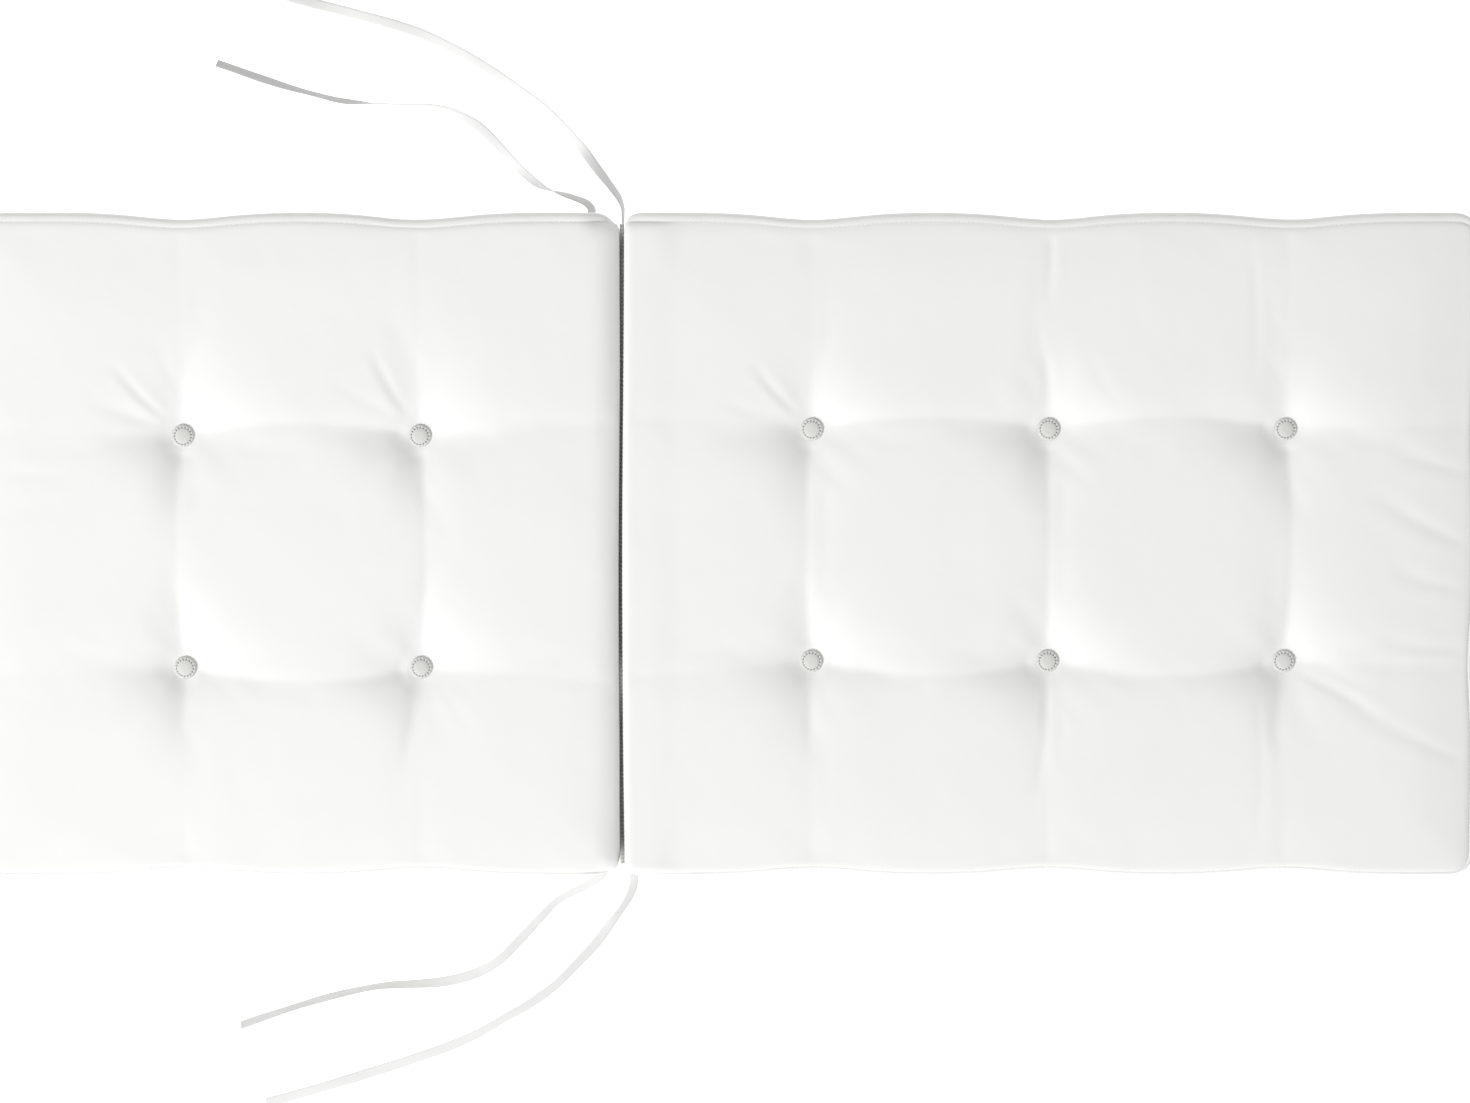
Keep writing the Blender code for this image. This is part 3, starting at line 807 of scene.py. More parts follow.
def build_skin(section):
    """Closed cover of one section: its points, and faces with their panel and place on the cut cloth."""
    grid, world_x, world_y = section_plan(section)
    count_x, count_y = grid.shape[:2]
    top_z = top_height(section, grid)
    depth = PAD_TOP - BUTTON_FLOOR_Z
    top_z = top_z - dimple_fall(section, grid, BUTTON_SEAT, depth, DIMPLE_REACH, DIMPLE_STAR)
    distance = edge_distance(section, grid)
    under_z = UNDER_SEAM_Z * (1 - quarter_round(distance, UNDER_ROLL))
    under_z = under_z + dimple_fall(section, grid, BUTTON_SEAT, UNDER_DIMPLE_RISE, UNDER_DIMPLE_REACH)
    loop = outline_loop(count_x, count_y)
    for i, j in loop:
        top_z[i, j] = float(seam_height(section, grid[i, j, 0])) - SEAM_SINK
        under_z[i, j] = UNDER_SEAM_Z
    top = np.stack([world_x, world_y, top_z], axis=-1).reshape(-1, 3)
    under = np.stack([world_x, world_y, under_z], axis=-1).reshape(-1, 3)
    plan = np.array([grid[i, j] for i, j in loop])
    outward = band_outward(plan)
    free = smoothstep(plan[:, 0], *section["band_free"])
    reach = band_reach(outward)
    rows = []
    high = np.array([top_z[i, j] for i, j in loop])
    drop = TOP_SEAM_Z - high
    for out, level, share in BAND_PROFILE[1:-1]:
        edge = plan + outward * (out * reach * free)[:, None]
        straight = high + (UNDER_SEAM_Z - high) * share
        z = straight + (level - drop * (1 - share) - straight) * free
        rows.append(np.stack([section["fold"] + section["side"] * edge[:, 0], edge[:, 1], z], axis=1))
    points = np.concatenate([top, under, *rows])

    def top_index(i, j):
        return i * count_y + j

    size = count_x * count_y
    rings = [[top_index(i, j) for i, j in loop]]
    for row in range(BAND_ROWS - 1):
        start = 2 * size + row * len(loop)
        rings.append(list(range(start, start + len(loop))))
    rings.append([size + top_index(i, j) for i, j in loop])
    around = [0.0]
    for a, b in zip(plan, np.roll(plan, -1, axis=0)):
        around.append(around[-1] + float(np.linalg.norm(b - a)))
    faces = []
    panels = []
    cuts = []
    for i in range(count_x - 1):
        for j in range(count_y - 1):
            quad = [(i, j), (i + 1, j), (i + 1, j + 1), (i, j + 1)]
            cut = [tuple(grid[place]) for place in quad]
            faces.append([top_index(*place) for place in quad])
            panels.append("top")
            cuts.append(cut)
            faces.append([size + top_index(*place) for place in reversed(quad)])
            panels.append("bottom")
            cuts.append(list(reversed(cut)))
    for row in range(BAND_ROWS):
        height, lower = (BAND_CUT * (1 - BAND_PROFILE[step][2]) for step in (row, row + 1))
        for step in range(len(loop)):
            after = (step + 1) % len(loop)
            faces.append([rings[row][step], rings[row + 1][step], rings[row + 1][after], rings[row][after]])
            panels.append("band")
            cuts.append([(around[step], height), (around[step], lower),
                         (around[step + 1], lower), (around[step + 1], height)])
    if section["side"] < 0:
        faces = [list(reversed(face)) for face in faces]
        cuts = [list(reversed(cut)) for cut in cuts]
    return {
        "points": points, "faces": faces, "panels": panels, "cuts": cuts, "rings": rings,
        "top": range(size), "under": range(size, 2 * size), "shape": (count_x, count_y), "grid": grid,
    }


BUTTON_FLOOR_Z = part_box("seat_button_plate_1")[0][2]

# How the filling swells the cover, frame by frame
SWELL_FRAMES = 20
SWELL_PRESSURE = 2.6
SWELL_CAP = 0.006
SWELL_SHARE = 0.10              # share kept of the slow swelling, of the puckers and of the band's move
PUCKER_SHARE = 0.70
BAND_SHARE = 0.15
CLOTH_SLACK = -0.012            # the cut cloth is a little larger than the pad
TUFT_HOLD = 0.0025              # how far past the button's seat the cloth is held
FOLD_HOLD = 0.002
PUCKER_REACH = 0.055            # how far from a tuft the cloth puckers
PUCKER_EDGE = (0.010, 0.045)    # and the edge strip over which the puckers fade in
PUCKER_FLOOR = 0.25             # share of them that is left away from the tufts


def swell(section, skin):
    """Inflate the sewn cover as cloth, held at its seams and tufts, and cap how far it moves."""
    start = skin["points"].copy()
    body = new_mesh_object(section["name"] + "_swelling", start, skin["faces"])
    held = body.vertex_groups.new(name="held")
    fixed = set(skin["under"])
    for ring in (skin["rings"][0], skin["rings"][-1]):
        fixed.update(ring)
    plan = skin["grid"].reshape(-1, 2)
    for button in section["buttons"]:
        centre = np.array((abs(button.x - section["fold"]), button.y))
        near = np.hypot(plan[:, 0] - centre[0], plan[:, 1] - centre[1]) < BUTTON_SEAT + TUFT_HOLD
        fixed.update(int(index) for index in np.nonzero(near)[0])
    fold_side = np.nonzero(np.abs(start[:, 0] - section["fold"]) < FOLD_HOLD)[0]
    fixed.update(int(index) for index in fold_side)
    held.add(sorted(fixed), 1.0, "REPLACE")
    cloth = body.modifiers.new("swell", "CLOTH")
    rules = cloth.settings
    rules.quality = 6
    rules.mass = 0.25
    rules.air_damping = 2.0
    rules.tension_stiffness = 18.0
    rules.compression_stiffness = 12.0
    rules.shear_stiffness = 6.0
    rules.bending_stiffness = 0.35
    rules.tension_damping = 6.0
    rules.compression_damping = 6.0
    rules.shear_damping = 6.0
    rules.use_pressure = True
    rules.uniform_pressure_force = SWELL_PRESSURE
    rules.vertex_group_mass = "held"
    rules.shrink_min = CLOTH_SLACK
    rules.effector_weights.gravity = 0.0
    cloth.collision_settings.use_collision = False
    cloth.collision_settings.use_self_collision = False
    cloth.point_cache.frame_start = 1
    cloth.point_cache.frame_end = SWELL_FRAMES
    for number in range(1, SWELL_FRAMES + 1):
        bpy.context.scene.frame_set(number)
    graph = bpy.context.evaluated_depsgraph_get()
    moved = body.evaluated_get(graph).to_mesh()
    end = read_points(moved)
    body.evaluated_get(graph).to_mesh_clear()
    bpy.context.scene.frame_set(1)
    bpy.data.objects.remove(body)
    step = end - start
    far = np.linalg.norm(step, axis=1, keepdims=True)
    step *= SWELL_CAP * np.tanh(far / SWELL_CAP) / np.maximum(far, 1e-9)
    count = len(skin["top"])
    lift = step[:count, 2].reshape(skin["shape"])
    slow = blurred(lift)
    pucker = (lift - slow) * PUCKER_SHARE * pucker_room(section, skin["grid"])
    step *= BAND_SHARE
    step[:count, 2] = (pucker + slow * SWELL_SHARE).ravel()
    step[:count, :2] = 0.0
    skin["points"] = start + step


def blurred(grid, reach=4, rounds=3):
    """Slow part of a grid of heights, by repeated box averages."""
    for _ in range(rounds):
        for axis in (0, 1):
            padding = [(reach, reach) if side == axis else (0, 0) for side in (0, 1)]
            wide = np.pad(grid, padding, mode="edge")
            total = np.cumsum(np.insert(wide, 0, 0.0, axis=axis), axis=axis)
            ahead = np.take(total, range(2 * reach + 1, total.shape[axis]), axis=axis)
            behind = np.take(total, range(0, total.shape[axis] - 2 * reach - 1), axis=axis)
            grid = (ahead - behind) / (2 * reach + 1)
    return grid


def pucker_room(section, plan):
    """Where the cloth puckers: around the tufts, and not along the stretched edges."""
    near = np.zeros(plan.shape[:-1])
    for button in section["buttons"]:
        centre = np.array((abs(button.x - section["fold"]), button.y))
        radius = np.hypot(plan[..., 0] - centre[0], plan[..., 1] - centre[1])
        near = np.maximum(near, np.exp(-((radius / PUCKER_REACH) ** 2)))
    inside = smoothstep(edge_distance(section, plan), *PUCKER_EDGE)
    return (PUCKER_FLOOR + (1 - PUCKER_FLOOR) * near) * inside


# ---- creases -----------------------------------------------------------------------------------
# Loose creases of each section: from (x, y), to (x, y), depth, half-width, in metres.
CREASES = {
    "seat": [
        ((-0.421, 0.094), (-0.462, 0.138), 0.0022, 0.0030),
        ((-0.418, 0.090), (-0.482, 0.112), 0.0012, 0.0045),
        ((-0.404, 0.100), (-0.430, 0.158), 0.0007, 0.0040),
        ((-0.240, 0.098), (-0.268, 0.150), 0.0018, 0.0032),
        ((-0.240, 0.094), (-0.300, 0.128), 0.0008, 0.0045),
        ((-0.550, 0.056), (-0.492, 0.050), 0.0009, 0.0050),
        ((-0.550, 0.020), (-0.502, 0.034), 0.0006, 0.0060),
        ((-0.418, -0.098), (-0.462, -0.132), 0.0009, 0.0050),
        ((-0.408, -0.104), (-0.424, -0.160), 0.0009, 0.0050),
        ((-0.236, -0.104), (-0.247, -0.170), 0.0013, 0.0050),
        ((-0.222, -0.100), (-0.190, -0.150), 0.0007, 0.0050),
        ((-0.232, -0.098), (-0.280, -0.126), 0.0008, 0.0055),
    ],
    "back": [
        ((0.055, 0.098), (0.018, 0.140), 0.0019, 0.0030),
        ((0.052, 0.092), (-0.006, 0.112), 0.0008, 0.0045),
        ((0.243, 0.246), (0.240, 0.182), 0.0013, 0.0032),
        ((0.234, 0.164), (0.243, 0.100), 0.0012, 0.0034),
        ((0.392, 0.236), (0.397, 0.124), 0.0008, 0.0030),
        ((0.242, -0.098), (0.234, -0.186), 0.0016, 0.0034),
        ((0.400, -0.112), (0.402, -0.228), 0.0009, 0.0030),
        ((0.430, -0.096), (0.494, -0.130), 0.0015, 0.0036),
        ((0.561, 0.056), (0.500, 0.074), 0.0012, 0.0050),
        ((0.561, 0.000), (0.482, 0.044), 0.0015, 0.0055),
        ((0.561, -0.034), (0.500, -0.016), 0.0012, 0.0050),
        ((0.561, -0.078), (0.492, -0.070), 0.0013, 0.0050),
        ((0.561, -0.164), (0.462, -0.112), 0.0013, 0.0055),
        ((0.300, 0.100), (0.270, 0.150), 0.0007, 0.0045),
        ((0.130, -0.100), (0.092, -0.128), 0.0007, 0.0050),
        ((0.062, -0.104), (0.060, -0.160), 0.0010, 0.0045),
        ((0.418, -0.102), (0.414, -0.150), 0.0010, 0.0045),
    ],
}
CREASE_SHARE = 0.62
SLOW_CRUMPLE = 0.00085          # height of the filling's slow unevenness
FINE_CRUMPLE = 0.00018          # and of the cloth's fine slackness
# Valleys beside the grid of tufts: how far each bows away from the straight line
ROW_BOW = 0.0095
COLUMN_BOW = 0.0045
FOLD_SPREAD = 1.12              # the valleys spread out on their way to the fold,
END_SPREAD = 1.05               # and less on their way to the free end
FOLD_VALLEY_SHARE = 1.3
VALLEY_FADE = 0.012
# Where the valleys and creases fade out: in from the edge, and away from a button's middle
EDGE_FADE = 0.010
BUTTON_FADE = (0.008, 0.017)
CEILING_SOFTNESS = 0.0012
CEILING_RISE = 0.0002           # how far the cloth may stand above the pad's height
REST_HEIGHT = 0.0001            # how far the underside stays off the floor


def along_line(x, y, start, end, bow):
    """Share along a bowed line, and the distance to its left, for arrays of points."""
    dx, dy = end[0] - start[0], end[1] - start[1]
    length = math.hypot(dx, dy)
    t = ((x - start[0]) * dx + (y - start[1]) * dy) / length**2
    off = ((y - start[1]) * dx - (x - start[0]) * dy) / length
    inside = np.clip(t, 0.0, 1.0)
    off = off - bow * 4 * inside * (1 - inside)
    past = np.maximum(np.maximum(-t, t - 1.0), 0.0) * length
    return t, off, past


def crease_height(section, x, y):
    """Height that the loose creases take away or add: a trough with a soft ridge beside it."""
    height = np.zeros_like(x)
    for start, end, depth, width in CREASES[section["name"]]:
        bow = 0.03 * math.hypot(end[0] - start[0], end[1] - start[1])
        t, off, _ = along_line(x, y, start, end, bow)
        fade = np.sin(np.pi * np.clip(t, 0.0, 1.0)) ** 0.6
        wide = width * (0.7 + 0.6 * np.clip(t, 0, 1))
        trough = -np.exp(-((off / wide) ** 2))
        ridge = 0.25 * np.exp(-(((off - 1.9 * wide) / (1.4 * wide)) ** 2))
        height += CREASE_SHARE * depth * fade * (trough + ridge)
    return height


def tuft_lines(section):
    """Valleys from tuft to tuft, and weaker ones from the outer tufts to the edges."""
    xs = sorted({round(b.x, 4) for b in section["buttons"]})
    ys = sorted({round(b.y, 4) for b in section["buttons"]})
    middle_x = (xs[0] + xs[-1]) / 2
    lines = []
    for y in ys:
        for a, b in zip(xs, xs[1:]):
            lines.append(((a, y), (b, y), math.copysign(ROW_BOW, y), VALLEY_DEPTH))
    for x in xs:
        bow = 0.0 if abs(x - middle_x) < 0.01 else -math.copysign(COLUMN_BOW, x - middle_x)
        lines.append(((x, ys[0]), (x, ys[1]), bow, VALLEY_DEPTH))
        for y in ys:
            lines.append(((x, y), (x, math.copysign(HALF_WIDTH, y)), 0.0, EDGE_VALLEY_DEPTH))
    far = section["fold"] + section["side"] * section["length"]
    for y in ys:
        nearest = min(xs, key=lambda x: abs(x - section["fold"]))
        furthest = max(xs, key=lambda x: abs(x - section["fold"]))
        fold_end = (section["fold"], y * FOLD_SPREAD)
        lines.append(((nearest, y), fold_end, 0.0, EDGE_VALLEY_DEPTH * FOLD_VALLEY_SHARE))
        lines.append(((furthest, y), (far, y * END_SPREAD), 0.0, EDGE_VALLEY_DEPTH))
    return lines


def valley_height(section, x, y):
    height = np.zeros_like(x)
    for start, end, bow, depth in tuft_lines(section):
        t, off, past = along_line(x, y, start, end, bow)
        middle_share = 0.52 + 0.48 * np.abs(2 * np.clip(t, 0.0, 1.0) - 1.0) ** 1.5
        strength = middle_share * np.exp(-((past / VALLEY_FADE) ** 2))
        height = np.minimum(height, -depth * np.exp(-np.abs(off) / VALLEY_REACH) * strength)
    return height


def crumple_height(x, y, z):
    """Slow unevenness of the filling and fine slackness of the cloth."""
    heights = np.empty(len(x))
    for index in range(len(x)):
        place = Vector((x[index], y[index], z[index]))
        slow = noise.noise(place * 16.0)
        fine = noise.noise(place * 55.0 + Vector((7.0, 3.0, 1.0)))
        heights[index] = SLOW_CRUMPLE * slow + FINE_CRUMPLE * fine
    return heights


# ---- covers, fillings and seams ------------------------------------------------------------------
def piece_of_skin(skin, panel, name, finish):
    """Cut one panel out of the cover."""
    chosen = [k for k, tag in enumerate(skin["panels"]) if tag == panel]
    used = sorted({v for k in chosen for v in skin["faces"][k]})
    place = {v: n for n, v in enumerate(used)}
    faces = [[place[v] for v in skin["faces"][k]] for k in chosen]
    piece = new_mesh_object(name, skin["points"][used], faces, finish)
    layer = piece.data.uv_layers.new(name="cut")
    flat = [corner for k in chosen for corner in skin["cuts"][k]]
    layer.data.foreach_set("uv", np.array(flat, dtype=np.float32).ravel())
    return piece


def refine(piece):
    """One subdivision that keeps the edges of the panel where they are sewn."""
    step = piece.modifiers.new("smooth", "SUBSURF")
    step.levels = 1
    step.render_levels = 1
    step.boundary_smooth = "ALL"
    return settle(piece)


def thicken(piece):
    step = piece.modifiers.new("cloth", "SOLIDIFY")
    step.thickness = CLOTH
    step.offset = -1.0
    step.use_even_offset = True
    settle(piece)
    piece.data.shade_smooth()
    piece.data.set_sharp_from_angle(angle=math.radians(60))


def soft_ceiling(z, ceiling):
    return ceiling - CEILING_SOFTNESS * np.log1p(np.exp((ceiling - z) / CEILING_SOFTNESS))


def finish_top(section, piece):
    points = read_points(piece.data)
    x, y, z = points[:, 0], points[:, 1], points[:, 2]
    plan = np.stack([np.abs(x - section["fold"]), y], axis=1)
    inner = smoothstep(edge_distance(section, plan), 0.0, EDGE_FADE)
    button = np.full(len(x), 1.0)
    for centre in section["buttons"]:
        button = np.minimum(button, smoothstep(np.hypot(x - centre.x, y - centre.y), *BUTTON_FADE))
    lift = valley_height(section, x, y) + crease_height(section, x, y) + crumple_height(x, y, z)
    points[:, 2] = soft_ceiling(z + lift * inner * button, PAD_TOP + CEILING_RISE)
    write_points(piece.data, points)


def make_cover(section):
    """Top panel, side band and bottom panel of a section, and the filling inside them."""
    name = section["name"]
    skin = build_skin(section)
    swell(section, skin)
    filling = make_filling(section, skin)
    top = refine(piece_of_skin(skin, "top", name + "_top_cover", FINISHES["cover_cloth"]))
    finish_top(section, top)
    thicken(top)
    band = refine(piece_of_skin(skin, "band", name + "_side_cover", FINISHES["band_cloth"]))
    thicken(band)
    bottom = refine(piece_of_skin(skin, "bottom", name + "_under_cover", FINISHES["cover_cloth"]))
    keep_off_floor(bottom)
    thicken(bottom)
    ride(top, name, "cover_cloth", name + "_top_panel")
    ride(band, name, "band_cloth", name + "_side_band")
    ride(bottom, name, "cover_cloth", name + "_bottom_panel")
    return skin


def keep_off_floor(piece):
    points = read_points(piece.data)
    points[:, 2] = np.maximum(points[:, 2], REST_HEIGHT)
    write_points(piece.data, points)


FILLING_INSET = 0.0026
FILLING_DROP = 0.0016
FILLING_SHARE = 0.25            # share of its faces that the hidden filling keeps


def make_filling(section, skin):
    """Soft block just inside the cover, dimpled as the cover is."""
    name = section["name"]
    block = new_mesh_object(name + "_foam", skin["points"], skin["faces"], FINISHES["filling_foam"])
    block.data.update()
    points = read_points(block.data)
    normals = np.empty(len(points) * 3, dtype=np.float32)
    block.data.vertices.foreach_get("normal", normals)
    points -= normals.reshape(-1, 3) * FILLING_INSET
    size = len(skin["top"])
    x, y = points[:size, 0], points[:size, 1]
    lowered = points[:size, 2] + valley_height(section, x, y) - FILLING_DROP
    points[:size, 2] = np.minimum(lowered, PAD_TOP - FILLING_INSET - FILLING_DROP)
    write_points(block.data, points)
    thin = block.modifiers.new("thin", "DECIMATE")
    thin.ratio = FILLING_SHARE
    settle(block)
    block.data.shade_smooth()
    ride(block, name, "filling_foam", name + "_filling")
    return block


# ---- what repeats: stitches and petals, placed by Geometry Nodes ---------------------------------
def geometry_tree(name, inputs):
    tree = bpy.data.node_groups.new(name, "GeometryNodeTree")
    tree.interface.new_socket("Geometry", in_out="INPUT", socket_type="NodeSocketGeometry")
    for socket, kind, value in inputs:
        made = tree.interface.new_socket(socket, in_out="INPUT", socket_type=kind)
        if value is not None:
            made.default_value = value
    tree.interface.new_socket("Geometry", in_out="OUTPUT", socket_type="NodeSocketGeometry")
    return tree, tree.nodes.new("NodeGroupInput"), tree.nodes.new("NodeGroupOutput")


def chain(tree, *sockets):
    """Link pairs of sockets, given as from, to, from, to."""
    for out, into in zip(sockets[::2], sockets[1::2]):
        tree.links.new(out, into)


def stitch_tree():
    """Rounded stitches laid end to end along an edge path."""
    tree, start, end = geometry_tree("stitch_run", [
        ("Pitch", "NodeSocketFloat", 0.0034), ("Stitch Length", "NodeSocketFloat", 0.0026),
        ("Thread Radius", "NodeSocketFloat", 0.0003), ("Slant", "NodeSocketFloat", 0.0),
        ("Thread", "NodeSocketMaterial", None)])
    path = tree.nodes.new("GeometryNodeMeshToCurve")
    even = tree.nodes.new("GeometryNodeResampleCurve")
    even.mode = "LENGTH"
    tangent = tree.nodes.new("GeometryNodeInputTangent")
    turn = tree.nodes.new("FunctionNodeAlignRotationToVector")
    turn.axis = "X"
    slant = tree.nodes.new("ShaderNodeCombineXYZ")
    tilted = tree.nodes.new("FunctionNodeRotateRotation")
    tilted.rotation_space = "LOCAL"
    euler = tree.nodes.new("FunctionNodeEulerToRotation")
    bead = tree.nodes.new("GeometryNodeMeshUVSphere")
    bead.inputs["Segments"].default_value = 6
    bead.inputs["Rings"].default_value = 4
    bead.inputs["Radius"].default_value = 1.0
    size = tree.nodes.new("ShaderNodeCombineXYZ")
    half = math_node(tree, "MULTIPLY", start.outputs["Stitch Length"], 0.5)
    shape = tree.nodes.new("GeometryNodeTransform")
    place = tree.nodes.new("GeometryNodeInstanceOnPoints")
    real = tree.nodes.new("GeometryNodeRealizeInstances")
    dressed = tree.nodes.new("GeometryNodeSetMaterial")
    chain(
        tree,
        start.outputs["Geometry"], path.inputs["Mesh"],
        path.outputs["Curve"], even.inputs["Curve"],
        start.outputs["Pitch"], even.inputs["Length"],
        tangent.outputs[0], turn.inputs["Vector"],
        start.outputs["Slant"], slant.inputs["Z"],
        slant.outputs[0], euler.inputs[0],
        turn.outputs[0], tilted.inputs["Rotation"],
        euler.outputs[0], tilted.inputs["Rotate By"],
        half, size.inputs["X"],
        start.outputs["Thread Radius"], size.inputs["Y"],
        start.outputs["Thread Radius"], size.inputs["Z"],
        bead.outputs["Mesh"], shape.inputs["Geometry"],
        size.outputs[0], shape.inputs["Scale"],
        even.outputs["Curve"], place.inputs["Points"],
        shape.outputs["Geometry"], place.inputs["Instance"],
        tilted.outputs[0], place.inputs["Rotation"],
        place.outputs["Instances"], real.inputs["Geometry"],
        real.outputs["Geometry"], dressed.inputs["Geometry"],
        start.outputs["Thread"], dressed.inputs["Material"],
        dressed.outputs["Geometry"], end.inputs["Geometry"],
    )
    return tree


def petal_tree():
    """Ring of rounded petals of gathered cloth, facing outwards from the middle."""
    tree, start, end = geometry_tree("petal_ring", [
        ("Petals", "NodeSocketInt", 17), ("Ring Radius", "NodeSocketFloat", 0.0069),
        ("Petal Length", "NodeSocketFloat", 0.0023), ("Petal Width", "NodeSocketFloat", 0.0020),
        ("Petal Height", "NodeSocketFloat", 0.0016), ("Droop", "NodeSocketFloat", 0.35),
        ("Cloth", "NodeSocketMaterial", None)])
    circle = tree.nodes.new("GeometryNodeMeshCircle")
    spot = tree.nodes.new("GeometryNodeInputPosition")
    outward = tree.nodes.new("ShaderNodeVectorMath")
    outward.operation = "NORMALIZE"
    turn = tree.nodes.new("FunctionNodeAlignRotationToVector")
    turn.axis = "X"
    droop = tree.nodes.new("ShaderNodeCombineXYZ")
    euler = tree.nodes.new("FunctionNodeEulerToRotation")
    tilted = tree.nodes.new("FunctionNodeRotateRotation")
    tilted.rotation_space = "LOCAL"
    bead = tree.nodes.new("GeometryNodeMeshUVSphere")
    bead.inputs["Segments"].default_value = 12
    bead.inputs["Rings"].default_value = 8
    bead.inputs["Radius"].default_value = 0.5
    size = tree.nodes.new("ShaderNodeCombineXYZ")
    shape = tree.nodes.new("GeometryNodeTransform")
    place = tree.nodes.new("GeometryNodeInstanceOnPoints")
    real = tree.nodes.new("GeometryNodeRealizeInstances")
    smooth = tree.nodes.new("GeometryNodeSetShadeSmooth")
    dressed = tree.nodes.new("GeometryNodeSetMaterial")
    chain(
        tree,
        start.outputs["Petals"], circle.inputs["Vertices"],
        start.outputs["Ring Radius"], circle.inputs["Radius"],
        spot.outputs[0], outward.inputs[0],
        outward.outputs[0], turn.inputs["Vector"],
        start.outputs["Droop"], droop.inputs["Y"],
        droop.outputs[0], euler.inputs[0],
        turn.outputs[0], tilted.inputs["Rotation"],
        euler.outputs[0], tilted.inputs["Rotate By"],
        start.outputs["Petal Length"], size.inputs["X"],
        start.outputs["Petal Width"], size.inputs["Y"],
        start.outputs["Petal Height"], size.inputs["Z"],
        bead.outputs["Mesh"], shape.inputs["Geometry"],
        size.outputs[0], shape.inputs["Scale"],
        circle.outputs["Mesh"], place.inputs["Points"],
        shape.outputs["Geometry"], place.inputs["Instance"],
        tilted.outputs[0], place.inputs["Rotation"],
        place.outputs["Instances"], real.inputs["Geometry"],
        real.outputs["Geometry"], smooth.inputs["Geometry"],
        smooth.outputs["Geometry"], dressed.inputs["Geometry"],
        start.outputs["Cloth"], dressed.inputs["Material"],
        dressed.outputs["Geometry"], end.inputs["Geometry"],
    )
    return tree


def grow(piece, tree, **values):
    """Run a Geometry Nodes tree on a piece and keep the plain mesh that it makes."""
    step = piece.modifiers.new(tree.name, "NODES")
    step.node_group = tree
    for item in tree.interface.items_tree:
        key = item.name.lower().replace(" ", "_")
        if item.in_out == "INPUT" and key in values:
            step[item.identifier] = values[key]
    piece.update_tag()
    return settle(piece)


STITCHES = stitch_tree()
PETALS = petal_tree()


def stitch_line(name, points, closed, **values):
    """Stitches along a line of points, as one plain mesh."""
    count = len(points)
    edges = [(k, k + 1) for k in range(count - 1)] + ([(count - 1, 0)] if closed else [])
    mesh = bpy.data.meshes.new(name)
    mesh.from_pydata([tuple(p) for p in points], edges, [])
    piece = bpy.data.objects.new(name, mesh)
    bpy.context.scene.collection.objects.link(piece)
    grow(piece, STITCHES, thread=FINISHES["sewing_thread"], **values)
    piece.data.shade_smooth()
    return piece


def join_meshes(name, pieces):
    """Several plain meshes as one object, their materials kept."""
    bm = bmesh.new()
    materials = []
    for piece in pieces:
        first = len(bm.faces)
        bm.from_mesh(piece.data)
        bm.faces.ensure_lookup_table()
        own = list(piece.data.materials)
        for face in bm.faces[first:]:
            finish = own[face.material_index] if own else None
            if finish not in materials:
                materials.append(finish)
            face.material_index = materials.index(finish)
        bpy.data.objects.remove(piece)
    mesh = bpy.data.meshes.new(name)
    bm.to_mesh(mesh)
    bm.free()
    for finish in materials:
        mesh.materials.append(finish)
    whole = bpy.data.objects.new(name, mesh)
    bpy.context.scene.collection.objects.link(whole)
    return whole


# ---- buttons ----------------------------------------------------------------------------------------
BUTTON_PETALS = 17
DOME_RADIUS = 0.0064
RING_RADIUS = 0.0071
BUTTON_LIFT = 0.0002
RING_LIFT = 0.0012
# (radius, z) of the shaded tuck under the dome's foot, and of the cloth collar under the gathers
TUCK_PROFILE = [(0.0, 0.0006), (0.0064, 0.0006), (0.0069, 0.0010), (0.0068, 0.0016), (0.0, 0.0016)]
COLLAR_PROFILE = [
    (0.0, -0.0008), (0.0080, -0.0008), (0.0086, -0.0001),
    (0.0079, 0.0010), (0.0070, 0.0015), (0.0, 0.0015),
]
GATHER_START = 0.0038           # radius where the dome's gathers begin
GATHER_DEPTH = 0.00018


def spun(name, profile, segments, finish):
    """Round body from a profile of (radius, z) that starts and ends on the axis."""
    verts = [(0.0, 0.0, profile[0][1])]
    for radius, z in profile[1:-1]:
        for step in range(segments):
            angle = 2 * math.pi * step / segments
            verts.append((radius * math.cos(angle), radius * math.sin(angle), z))
    verts.append((0.0, 0.0, profile[-1][1]))
    faces = []
    rings = len(profile) - 2
    for step in range(segments):
        after = (step + 1) % segments
        faces.append((0, 1 + after, 1 + step))
        for ring in range(rings - 1):
            low, high = 1 + ring * segments, 1 + (ring + 1) * segments
            faces.append((low + step, low + after, high + after, high + step))
        last = 1 + (rings - 1) * segments
        faces.append((last + step, last + after, len(verts) - 1))
    piece = new_mesh_object(name, verts, faces, finish)
    face_outwards(piece)
    piece.data.shade_smooth()
    layer = piece.data.uv_layers.new(name="cut")
    for loop in piece.data.loops:
        spot = piece.data.vertices[loop.vertex_index].co
        layer.data[loop.index].uv = (spot.x, spot.y)
    return piece


def dome_profile():
    """Cloth drawn over a domed shell: turned-under foot, soft shoulder, low crown."""
    points = [(0.0, 0.0002), (DOME_RADIUS * 0.9, 0.0002), (DOME_RADIUS, 0.0007)]
    for share, height in ((0.99, 0.0013), (0.955, 0.0017), (0.89, 0.0020), (0.79, 0.0023),
                          (0.62, 0.0026), (0.40, 0.0028), (0.20, 0.0029)):
        points.append((DOME_RADIUS * share, height))
    points.append((0.0, 0.0029))
    return points


